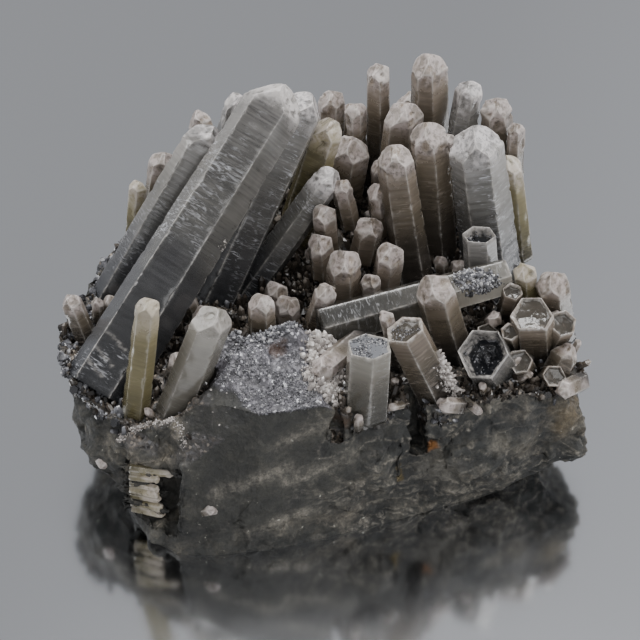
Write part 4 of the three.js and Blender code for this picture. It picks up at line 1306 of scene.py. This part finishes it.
# %% Patterns and spots in the rock
GRAIN_SIZE = 0.55  # mm: coarser than the real grains, so that they show
SHELL_SIZE = 1.9  # mm: the smallest shell-shaped breaks, only as a slope of the surface
RELIEF_DEPTH = 0.5  # mm
ROCK_PATTERNS = {  # size in mm, detail, distortion, roughness
    "broad": (12, 3, 0.0, 0.6), "middle": (3.6, 4, 0.3, 0.6), "fine": (0.8, 4, 0.0, 0.6),
    "ragged": (1.4, 6, 0.0, 0.7), "speckle": (0.6, 4, 0.0, 0.75), "flecks": (1.4, 4, 0.0, 0.6),
}
STAINS = [  # spots of rust and earth: place in mm, radius, colour
    ((21.6, -35.5, 17.0), 1.4, "#915c22"), ((14.2, -37.5, 12.5), 2.0, "#7d6a35"),
    ((-9.5, -28.0, 36.8), 2.0, "#43280f"), ((4.0, -33.0, 33.0), 2.6, "#4a3018"),
    ((3.5, -40.0, 29.0), 2.4, "#3f2a15"),
]
PATCHES = [  # paler and darker parts of the rock itself, in the same way
    ((42.5, -31.5, 21.0), 7.0, "#1b1d1f"), ((33.0, -33.5, 21.5), 4.5, "#1e2020"),
    ((35.3, -33.6, 16.5), 2.6, "#7a756a"), ((40.0, -32.0, 14.5), 3.4, "#6d675b"),
    ((23.0, -36.0, 11.5), 4.6, "#736f66"), ((31.5, -35.5, 12.0), 4.0, "#222321"),
    ((49.5, -28.5, 19.5), 5.0, "#5f523a"), ((52.0, -24.0, 23.0), 4.0, "#6b5d45"),
    ((-45.5, -26.0, 17.5), 7.0, "#191c1b"), ((-20.0, -44.0, 26.0), 8.0, "#1e1e1a"),
]
print("rusty spots:", len(STAINS), "patches:", len(PATCHES))


# %% Spots, bands and crust
def stained(node, under, place_mm, uneven, spots, most, ragged):
    """The colour under, changed to each spot's colour by a share that falls from most to 0 at the
    spot's rim. The distance to the spot is made uneven by a pattern, times ragged radii."""
    for spot, radius, stain in spots:
        away = node("VectorMath", (place_mm, spot), operation="DISTANCE", out="Value")
        away = node("Math", (uneven, radius * ragged, away), operation="MULTIPLY_ADD")
        shift = radius * ragged / 2
        share = node("MapRange", (away, radius * 0.4 + shift, radius * 1.25 + shift, most, 0.0))
        under = node("Mix", {0: share, 6: under, 7: stain}, data_type="RGBA", out=2)
    return under


def pale_bands(node, place_mm, read, shown):
    """The share of the wavy pale bands: thin shells round one level of a stretched and tilted
    noise, more of them in the right half, and the streaks that the attribute places."""
    slanted = node("Mapping", {
        "Vector": place_mm, "Rotation": (0, math.radians(24), 0), "Scale": (0.7, 1, 1.2)})
    wavy = node("TexNoise", {"Vector": slanted, "Scale": 0.12, "Detail": 4.0, "Distortion": 1.5},
                out="Fac")
    off = node("Math", (node("Math", (wavy, 0.52), operation="SUBTRACT"),), operation="ABSOLUTE")
    band = node("MapRange", (off, 0.0, 1 / 15, 1.0, 0.0))
    axes = node("SeparateXYZ", (place_mm,)).node.outputs
    right_half = node("MapRange", (axes["X"], -12.0, 12.0, 0.25, 1.3),
                      interpolation_type="SMOOTHSTEP")
    ragged = node("MapRange", (shown["ragged"], 0.42, 0.62))
    for part in (right_half, ragged):
        band = node("Math", (band, part), operation="MULTIPLY")
    ragged = node("Math", (ragged, 0.25), operation="ADD")
    streaks = node("Math", (read["streak"], ragged), operation="MULTIPLY")
    band = node("Math", (band, streaks), operation="MAXIMUM")
    return node("Math", (band, 0.6), operation="MULTIPLY")


def grain_crust(node, place_mm, read):
    """The crust of fine grains: its share, its colour and the chance numbers of its grains. Every
    cell of a Voronoi pattern is a grain that takes its colour from its own chance number."""
    cells = node("TexVoronoi", {"Vector": place_mm, "Scale": 1 / GRAIN_SIZE}, out="Color")
    chance = node("SeparateColor", (cells,)).node.outputs
    bowl_crust = node("Math", (read["bowl"], 0.85), operation="MULTIPLY")
    crust = node("Math", (read["shelf"], bowl_crust), operation="MAXIMUM")
    sugar = node("ValToRGB", (chance["Red"],), stops=[
        (0.0, "#323136"), (0.6, "#525055"), (0.88, "#706e74"), (0.96, "#908e94"), (1.0, "#e4e4e8")])
    warm = node("ValToRGB", (chance["Green"],), stops=[
        (0.0, "#262422"), (0.55, "#413b35"), (0.9, "#62574d"), (1.0, "#b5a898")])
    sugar = node("Mix", {0: read["bowl"], 6: sugar, 7: warm}, data_type="RGBA", out=2)
    return crust, sugar, chance


print("a stain is full to 0.4 of its radius and gone at 1.25 of it")


# %% The rock's colour
def rock_colour(node, place_mm, read, shown, crust, sugar):
    """Charcoal to olive-grey, darker on the smooth scoop, with bands, patches and speckles; painted
    shade in dents, in the niche and along the crack and painted light on ridges, the bare scoop darker,
    with pale flecks; then the crust, and rust over all."""
    mix = 0.0
    for part, weight in ((shown["broad"], 0.5), (shown["middle"], 0.35), (shown["fine"], 0.15)):
        mix = node("Math", (part, weight, mix), operation="MULTIPLY_ADD")
    colour = node("ValToRGB", (mix,), stops=[
        (0.4, "#1a1b1a"), (0.49, "#2b2b28"), (0.55, "#3c3a34"), (0.6, "#5b564d"), (0.66, "#847d6f")])
    scoop = node("Math", (read["front_face"], 0.85), operation="MULTIPLY")
    smooth_dark = node("ValToRGB", (shown["middle"],), stops=[(0.3, "#191916"), (0.75, "#33322b")])
    for share, coat in ((scoop, smooth_dark), (pale_bands(node, place_mm, read, shown), "#837d72")):
        colour = node("Mix", {0: share, 6: colour, 7: coat}, data_type="RGBA", out=2)
    colour = stained(node, colour, place_mm, shown["middle"], PATCHES, most=0.55, ragged=2.4)
    speckle = node("Math", (shown["speckle"], 2.6, -0.3), operation="MULTIPLY_ADD")
    # painted shade in dents and painted light on ridges, from how far the surface moved
    painted_relief_light = node("MapRange", (read["relief"], -1.2, 1.4, 0.6, 1.4))
    for brightness in (speckle, painted_relief_light):
        colour = node("HueSaturation", {"Color": colour, "Value": brightness})
    # painted shade in the niche and the crack, and the darker rock of the bare scoop
    shaded = node("Math", (read["shade_and_dark_scoop"], 0.75), operation="MULTIPLY")
    fleck = node("MapRange", (shown["flecks"], 0.69, 0.7525))
    thick = node("Math", (shown["middle"], 1.2, 0.25), operation="MULTIPLY_ADD", use_clamp=True)
    thick = node("Math", (thick, crust), operation="MULTIPLY")
    for share, coat in ((shaded, "#161614"), (fleck, "#a9a79c"), (thick, sugar)):
        colour = node("Mix", {0: share, 6: colour, 7: coat}, data_type="RGBA", out=2)
    return stained(node, colour, place_mm, shown["middle"], STAINS, most=0.65, ragged=3.2)


print("mm across the rock's three mixed patterns:",
      [ROCK_PATTERNS[label][0] for label in ("broad", "middle", "fine")])


# %% Host rock
def host_rock():
    """Dark silicified rock, as it broke: dull and rough, a little smoother on the scoop, and
    glittering where it carries a crust of fine quartz grains."""
    material, node = new_material("dark_silicified_rock")
    place_mm = node("Mapping", {"Vector": node("TexCoord", out="Object"), "Scale": (1 / MM,) * 3})
    read = {label: node("Attribute", attribute_name=label, out="Fac")
            for label in ("shelf", "front_face", "bowl", "relief", "shade_and_dark_scoop", "streak")}
    shown = {}
    for label, (size, detail, distortion, roughness) in ROCK_PATTERNS.items():
        shown[label] = node("TexNoise", {
            "Vector": place_mm, "Scale": 1 / size, "Detail": detail, "Roughness": roughness,
            "Distortion": distortion}, out="Fac")
    crust, sugar, chance = grain_crust(node, place_mm, read)
    colour = rock_colour(node, place_mm, read, shown, crust, sugar)

    rough = 0.5
    for part, weight in ((shown["fine"], 0.35), (read["front_face"], -0.1)):
        rough = node("Math", (part, weight, rough), operation="MULTIPLY_ADD")
    glitter = node("Math", (chance["Blue"], 0.45, 0.12), operation="MULTIPLY_ADD")
    rough = node("Mix", {0: crust, 2: rough, 3: glitter})
    shells = node("TexVoronoi", {"Vector": place_mm, "Scale": 1 / SHELL_SIZE}, out="Distance")
    shell_height = node("Math", (read["front_face"], -0.2, 0.35), operation="MULTIPLY_ADD")
    grains = node("Math", (crust, chance["Red"]), operation="MULTIPLY")
    height = node("Math", (shells, shell_height), operation="MULTIPLY")
    for part, weight in ((shown["middle"], 0.6), (shown["fine"], 0.75), (grains, 1.1)):
        height = node("Math", (part, weight, height), operation="MULTIPLY_ADD")
    bump = node("Bump", {"Height": height, "Strength": 1.0, "Distance": RELIEF_DEPTH * MM})
    skin = node("BsdfPrincipled", {"Base Color": colour, "Roughness": rough, "Normal": bump})
    node("OutputMaterial", {"Surface": skin})
    return material


ROCK = host_rock()
place(rock_piece, ROCK, "host_rock", "matrix")
place(crust_piece, ROCK, "host_rock")
print("rock material nodes:", len(ROCK.node_tree.nodes))

# %% [markdown]
# ## Druse
# Wherever the rock was open, quartz grew on it as a carpet of small crystals: grains of a third
# of a millimetre on the shelf, and points of one or two millimetres in the bowl, thickest round
# the feet of the large crystals. Each is a six-sided point of 22 triangles, and all of them are
# worked out at once by multiplying one pattern with rows of places, directions and sizes. They
# could be instances of one crystal, but in one mesh each can be uneven in its own way, and the
# mesh can be handed over as it is.

# %% Where small crystals stand
DRUSE_UPWARD = 0.35  # added to every direction, because druse grows towards the open space


def scatter(seed, count, weight, sizes, tall, lean, points, triangles):
    """Points spread over a surface by weight and area. sizes are the least and largest width in
    mm, most of them near the least; tall is the height of the column in widths."""
    pick = np.random.default_rng(SEED * 100 + seed)
    a, b, c = (points[triangles[:, k]] for k in range(3))
    normals = np.cross(b - a, c - a)
    areas = np.linalg.norm(normals, axis=1)
    chance = areas * weight[triangles].mean(axis=1)
    owner = pick.choice(len(triangles), count, p=chance / chance.sum())
    u, v = pick.random((2, count))
    over = u + v > 1
    u, v = np.where(over, 1 - u, u), np.where(over, 1 - v, v)
    spots = a[owner] + u[:, None] * (b - a)[owner] + v[:, None] * (c - a)[owner]
    axes = normals[owner] / areas[owner, None] + pick.normal(0, lean, (count, 3))
    axes[:, 2] += DRUSE_UPWARD
    axes /= np.linalg.norm(axes, axis=1, keepdims=True)
    width = sizes[0] + (sizes[1] - sizes[0]) * pick.random(count) ** 3.2
    height = width * pick.uniform(*tall, count)
    return spots, axes, width, height, pick


shown = scatter(0, 1000, np.ones(len(rock)), (0.4, 1.7), (0.6, 2.1), 0.4, rock, rock_faces)
print("middle width of 1000 points in mm:", round(float(np.median(shown[2])), 2))

# %% Six-sided points, all at once
CORNER = np.arange(6)
NEXT = (CORNER + 1) % 6
HEX = CORNER * math.pi / 3
POINT_PATTERN = np.concatenate([
    np.stack([np.cos(HEX), np.sin(HEX), np.full(6, -0.5)], 1),
    np.stack([0.93 * np.cos(HEX), 0.93 * np.sin(HEX), np.full(6, 0.0)], 1), [[0, 0, 1.0]]])
POINT_FACES = np.concatenate([
    np.stack([CORNER, NEXT, NEXT + 6], 1), np.stack([CORNER, NEXT + 6, CORNER + 6], 1),
    np.stack([CORNER + 6, NEXT + 6, CORNER * 0 + 12], 1),
    [[0, 2, 1], [0, 3, 2], [0, 4, 3], [0, 5, 4]]])


def hex_points(spots, axes, width, height, pick):
    """One six-sided point at each spot: across its axis the pattern is scaled by half the width,
    and along it by the height of the column and of the tip."""
    count = len(spots)
    first = np.cross(axes, pick.normal(0, 1, (count, 3)))
    first /= np.linalg.norm(first, axis=1, keepdims=True)
    second = np.cross(axes, first)
    uneven = 1 + pick.normal(0, 0.09, (count, 6))
    uneven = np.concatenate([uneven, uneven, np.ones((count, 1))], axis=1) * width[:, None] / 2
    across = POINT_PATTERN[None, :, :2] * uneven[..., None]
    level = np.concatenate([-np.repeat(width[:, None], 6, 1) * 0.5,
                            height[:, None] + pick.normal(0, 0.08, (count, 6)) * width[:, None],
                            (height + width * 0.55)[:, None]], axis=1)
    across[:, -1] += pick.normal(0, 0.12, (count, 2)) * width[:, None]  # the tip, off its axis
    points = (spots[:, None] + across[..., :1] * first[:, None] + across[..., 1:] * second[:, None]
              + level[..., None] * axes[:, None])
    triangles = POINT_FACES[None] + (np.arange(count) * len(POINT_PATTERN))[:, None, None]
    tone = np.repeat(pick.random(count), len(POINT_PATTERN))
    return points.reshape(-1, 3), triangles.reshape(-1, 3), {
        "tone": tone, "tipward": np.tile(np.repeat([0.0, 0.6, 1.0], [6, 6, 1]), count)}


def druse_quartz(name, low, high, bright, rough):
    """Druse as it grew: glassy little faces, clear to milky, each point with its own tone and
    paler towards its tip."""
    material, node = new_material(name)
    tone, tipward = (node("Attribute", attribute_name=label, out="Fac") for label in ("tone", "tipward"))
    share = node("Math", (tone, tipward), operation="MULTIPLY")
    colour = node("ValToRGB", (share,), stops=[(0.0, low), (0.5, high), (0.95, bright)])
    gloss = node("Math", (tone, 0.2, rough), operation="MULTIPLY_ADD")
    skin = node("BsdfPrincipled", {"Base Color": colour, "Roughness": gloss, "IOR": QUARTZ_IOR,
                                   "Transmission Weight": 0.25})
    node("OutputMaterial", {"Surface": skin})
    return material


grey_druse = druse_quartz("grey_quartz_druse", "#333335", "#7d7d82", "#e2e0de", 0.05)
brown_druse = druse_quartz("brown_quartz_druse", "#1d1a18", "#554d45", "#9d948a", 0.06)
white_druse = druse_quartz("milky_quartz_druse", "#8d8783", "#c9c2bc", "#f0eeec", 0.1)
print("points and triangles in one small crystal:", len(POINT_PATTERN), len(POINT_FACES))


# %% Where the rock is open
def round_spot(points, middle, radius):
    """1 near a place in mm, and 0 beyond its radius."""
    away = np.linalg.norm((points - np.array(middle)) / np.array(radius), axis=1)
    return 1 - smooth_step(0.5, 1.0, away)


near_foot = np.zeros(len(rock))
buried = np.zeros(len(rock), bool)
for crystal in list(crystals.values()) + rock_crystals:
    near_foot[within(rock, crystal, 1.5)] = 1
    buried[within(rock, crystal, 0.25)] = True
near_foot *= ~buried & (rock_out[:, 2] > -0.2)
open_rock = np.where(buried, 0.0, 1.0)
left, front, height = -rock[:, 0], -rock[:, 1], rock[:, 2]
front_rim = 1 - 0.85 * smooth_step(28, 33, front) * smooth_step(14, 20, left)
dark_gap = 1 - 0.9 * round_spot(rock, (27.0, -22.0, 29.0), (8.0, 7.0, 8.0))
left_rim = smooth_step(38, 43, left)
lobe_rim = near_line(rock, LOBE, 0.55) * smooth_step(-0.2, 0.4, rock_out[:, 2])
silver_patch = 0.5 + 0.5 * noise(rock, 3.0, 81)
fine_shelf = shelf * open_rock * smooth_step(0.35, 0.75, silver_patch)
crest = round_spot(rock, (-11.5, -23.5, 37), (9, 4.5, 6)) * open_rock
white_bank = round_spot(rock, (1.0, -30, 34), (6, 11, 8)) * open_rock
open_bowl = (bowl * open_rock * smooth_step(20, 24, base[:, 2]) * (1 - white_bank) * front_rim
             * dark_gap * (1 - 0.85 * left_rim) * (1 - front_face))
flecked = front_face * smooth_step(22, 25, height) * smooth_step(8, 12, left)
print("rock points near a crystal's foot:", int(near_foot.sum()), "and under one:", int(buried.sum()))

# %% Druse on the rock
rock_surface = (rock, rock_faces)
DRUSE = [  # name, finish, slot, seed, count, weight, widths mm, heights in widths, lean, surface
    ("shelf_grains", grey_druse, "pale_quartz", 1, 4200, fine_shelf, (0.16, 0.5), (0.0, 0.4), 0.5,
     rock_surface),
    ("crest_grains", grey_druse, "pale_quartz", 4, 900, crest, (0.4, 1.1), (0.1, 0.7), 0.6,
     rock_surface),
    ("milky_bank", white_druse, "pale_quartz", 5, 1500, white_bank, (0.4, 1.4), (0.1, 0.9), 0.6,
     rock_surface),
    ("bowl_druse", brown_druse, "brown_quartz", 2, 7000, open_bowl, (0.4, 1.7), (0.6, 2.1), 0.4,
     rock_surface),
    ("foot_druse", grey_druse, "pale_quartz", 3, 3000, near_foot * front_rim * dark_gap,
     (0.3, 1.1), (0.5, 2.2), 0.5, rock_surface),
    ("left_rim_druse", grey_druse, "pale_quartz", 8, 700, bowl * open_rock * left_rim, (0.4, 2.0),
     (0.0, 0.6), 0.5, rock_surface),
    ("lobe_rim_grains", white_druse, "pale_quartz", 7, 800, lobe_rim, (0.16, 0.45), (0.0, 0.5), 0.5,
     rock_surface),
    ("hollow_druse", brown_druse, "brown_quartz", 6, 1800, np.where(crust_out[:, 2] > 0.2, 1.0, 0.0),
     (0.4, 1.7), (0.8, 2.6), 0.4, (crust_points, crust_triangles)),
]
print("points of druse on the rock and the crust:", sum(row[4] for row in DRUSE))

# %% Grains on the crystals
STUB_GRAINS = [  # crystal, count and widths in mm of the grains in its broken end
    ("rim_silver_stub", 420, (0.2, 0.55)), ("rim_dark_stub", 55, (0.2, 0.5)),
    ("rim_olive_stub", 90, (0.2, 0.5)), ("right_broken_crystal", 120, (0.25, 0.7)),
]
for seed, (name, count, sizes) in enumerate(STUB_GRAINS, 20):
    points, faces, given = skins[name]
    thick = smooth_step(0.25, 0.6, 0.5 + 0.5 * noise(points, 2.0, 82))  # in patches of about 2 mm
    DRUSE.append((name + "_grains", grey_druse, "pale_quartz", seed, count, given["pit"] * thick,
                  sizes, (0.0, 0.4), 0.5, (points, faces)))
bar, great, olive = (skins[name][:2] for name in ("fallen_bar_crystal", "great_crystal",
                                                  "rim_olive_stub"))
bar_patch = round_spot(bar[0], (30.7, -12.0, 41.2), (5.6, 3.4, 3.4))
# white grains on the great crystal's right edge: chipped bits, and a painted glint there
great_bits_and_glint_patch = round_spot(great[0], (-20.3, -6.4, 45.6), (1.4, 1.4, 1.9))
olive_edge = [(23.2, -32.0, 36.2), (25.4, -32.8, 31.5), (27.6, -33.2, 27.5)]  # its right one, in mm
jagged = near_line(olive[0], olive_edge, 1.2) * smooth_step(-0.2, 0.6, outward(*olive)[:, 0])
DRUSE += [
    ("bar_druse", grey_druse, "pale_quartz", 30, 520, bar_patch, (0.35, 1.1), (0.0, 0.3), 0.6, bar),
    ("great_crystal_bits_and_glint", white_druse, "pale_quartz", 31, 18, great_bits_and_glint_patch, (0.2, 0.5), (0.0, 0.3),
     0.6, great),
    ("jagged_crust", white_druse, "pale_quartz", 32, 560, jagged, (0.22, 0.75), (0.2, 2.2), 0.7,
     olive),
    ("front_flecks", white_druse, "pale_quartz", 33, 16, flecked, (0.3, 0.8), (0.0, 0.2), 0.6,
     rock_surface),
]
for name, finish, slot, seed, count, weight, sizes, tall, lean, surface in DRUSE:
    made = scatter(seed, count, weight, sizes, tall, lean, *surface)
    piece = make_piece(name, *hex_points(*made), smooth=False)
    place(piece, finish, slot)
print("druse triangles:", {row[0]: row[4] * len(POINT_FACES) for row in DRUSE})

# %% [markdown]
# ## Slim crystals
# Between the large crystals stand slim ones of two or three millimetres, wherever there was
# room. They are tried one after another at places spread like the druse, and one is kept only
# when it stays clear of every crystal that already stands, so that none grows through another.

# %% Slim crystals between the large ones
SLIM_COUNT, SLIM_TRIES = 90, 260
ROOM = 0.4  # mm between two crystals
ROOTED = 1.2  # mm of a slim crystal's foot that is sunk in the rock
visual_high = np.array(cad_box[1]) / MM


def free_of_others(crystal, others, room):
    """Whether six spots on the crystal's axis, from 0.45 of its height up, all lie outside the
    others, each grown by that room in mm."""
    probes = crystal["foot"] + np.linspace(0.45, 1, 6)[:, None] * (crystal["tip"] - crystal["foot"])
    return all(depth_inside(probes, other, room).max() < 0 for other in others)


slim_weight = (bowl * open_rock * smooth_step(21, 25, base[:, 2])
               * (0.35 + smooth_step(-5, 15, base[:, 1])))
spots, axes, widths, heights, _ = scatter(
    40, SLIM_TRIES, slim_weight, (1.6, 3.4), (2.0, 3.6), 0.22, rock, rock_faces)
slim, standing = [], list(crystals.values()) + hollow_row + rock_crystals
for k, (spot, axis, width, height) in enumerate(zip(spots, axes, widths, heights)):
    made = grown_crystal(spot - axis * ROOTED, spot + axis * height, width, 25 * k, k)
    inside_box = (abs(made["tip"][:2]) < visual_high[:2] - 1).all()
    off_the_left_front = made["tip"][0] > -36 or made["tip"][1] < -5
    if (len(slim) < SLIM_COUNT and inside_box and off_the_left_front
            and free_of_others(made, standing, ROOM)):
        slim.append(made)
        standing.append(made)
slim_piece = make_piece("slim_crystals", *small_skins(
    slim, 600, around=36, column_step=0.9, tip_step=0.3, sharp=30, chips=2, growth=0.0))
place(slim_piece, QUARTZ["brown_quartz"], "brown_quartz")
print("slim crystals:", len(slim), "triangles:", len(slim_piece.data.polygons))

# %% [markdown]
# ## Loose crystals, needles and open ends
# Some crystals broke off and were grown fast again, lying on the rim and on the rock. The niche
# at the lower left holds a bundle of cream needles that cross it side by side. On the right rim
# stand short crystals without tips, open like cups. The first two kinds are whole crystals, laid
# from a foot to a tip. The cups are broken crystals: their tip faces give way to one plane.

# %% Crystals that lie on the rim
LYING = [  # foot, tip and width in mm, turn in degrees
    ([8.5, -19.0, 33.0], [-1.6, -34.5, 35.0], 3.8, 10),
    ([11.5, -19.5, 32.0], [5.0, -30.5, 34.5], 2.6, 40),
    ([52.0, -24.0, 25.0], [46.5, -30.0, 27.0], 3.0, 30),
    ([27.0, -33.5, 26.5], [22.5, -36.8, 29.5], 2.6, 15),
    ([47.5, -12.5, 27.5], [47.0, -17.5, 36.0], 3.6, 5),
    ([40.5, -20.0, 27.0], [37.5, -26.5, 31.5], 3.2, 50),
    ([-24.4, -44.8, 8.8], [-21.2, -47.1, 11.4], 1.9, 20),
    ([-42.6, -31.8, 16.6], [-44.7, -35.4, 11.4], 2.2, 30),
]
lying = [grown_crystal(foot, tip, width, turn, 800 + k)
         for k, (foot, tip, width, turn) in enumerate(LYING)]
points, faces, given = small_skins(lying, 800, around=54, column_step=0.7, tip_step=0.26)
given["frost"] = np.clip(given["frost"] + 0.35 + 0.5 * noise(points, 2.0, 91), 0, 1)
lying_piece = make_piece("lying_crystals", points, faces, given)
place(lying_piece, QUARTZ["brown_quartz"], "brown_quartz")
print("lying crystals:", len(lying), "triangles:", len(lying_piece.data.polygons))

# %% The bundle of needles
NEEDLES = 7
LOWEST, HIGHEST = 5.0, 15.4  # mm above the floor

pick = np.random.default_rng(SEED + 77)
needles = []
for k, level in enumerate(np.linspace(LOWEST, HIGHEST, NEEDLES) + pick.uniform(-0.3, 0.3, NEEDLES)):
    foot = np.array([-38.4, -39.4 + pick.uniform(-0.6, 0.3), level])
    tip = foot + [pick.uniform(5.2, 9.0), -pick.uniform(1.0, 2.4), pick.uniform(-0.8, 0.8)]
    needles.append(grown_crystal(foot, tip, pick.uniform(0.9, 1.5), 17 * k, 900 + k))
points, faces, given = small_skins(needles, 900, around=30, column_step=0.6, tip_step=0.25, sharp=24,
                                   blunt=0.2)
given["frost"] = np.clip(given["frost"] + 0.4 + 0.5 * noise(points, 1.5, 92), 0, 1)
needle_piece = make_piece("cream_needles", points, faces, given)
place(needle_piece, QUARTZ["amber_quartz"], "amber_quartz")
print("needles:", len(needles), "triangles:", len(needle_piece.data.polygons))

# %% Open-ended crystals
OPEN_ENDS = [  # foot, middle of the break, width and depth of the hollow, in mm
    ([35.0, -15.5, 27.5], [32.8, -20.6, 34.2], 3.4, 1.6),
    ([38.8, -17.0, 28.0], [37.2, -21.0, 35.2], 3.0, 0.8),
    ([40.5, -22.0, 26.0], [38.8, -26.5, 32.0], 3.8, 1.0),
    ([46.5, -15.0, 27.0], [47.8, -19.5, 36.0], 4.0, 1.2),
    ([37.0, -9.5, 29.0], [38.0, -12.5, 38.8], 3.2, 0.9),
    ([45.0, -23.0, 25.0], [45.8, -27.5, 29.0], 3.4, 1.0),
]
FACING_FRONT = [0.05, -0.35, 0.25]  # added to the axis: the breaks look forward and up
WALLS = 7  # the foot and six sides, without the tip faces

ends = []
for k, (foot, tip, width, pit) in enumerate(OPEN_ENDS):
    cup = grown_crystal(foot, tip, width, 23 * k, 950 + k)
    lean = cup["axis"] + FACING_FRONT
    lean /= np.linalg.norm(lean)
    cup["normals"] = np.vstack([cup["normals"][:WALLS], lean])
    cup["distances"] = np.append(cup["distances"][:WALLS], lean @ cup["tip"])
    cup["column"] = np.append(cup["column"][:WALLS], False)
    part = broken_surface(cup, 950 + k, around=60, cap_rings=16, pit=pit, rim=0.2)
    part[2]["tone"] = np.full(len(part[0]), pick.uniform(-0.5, 1))
    ends.append(part)
ends_piece = make_piece("open_ended_crystals", *join(ends))
place(ends_piece, QUARTZ["brown_quartz"], "brown_quartz")
print("open-ended crystals:", len(ends), "triangles:", len(ends_piece.data.polygons))
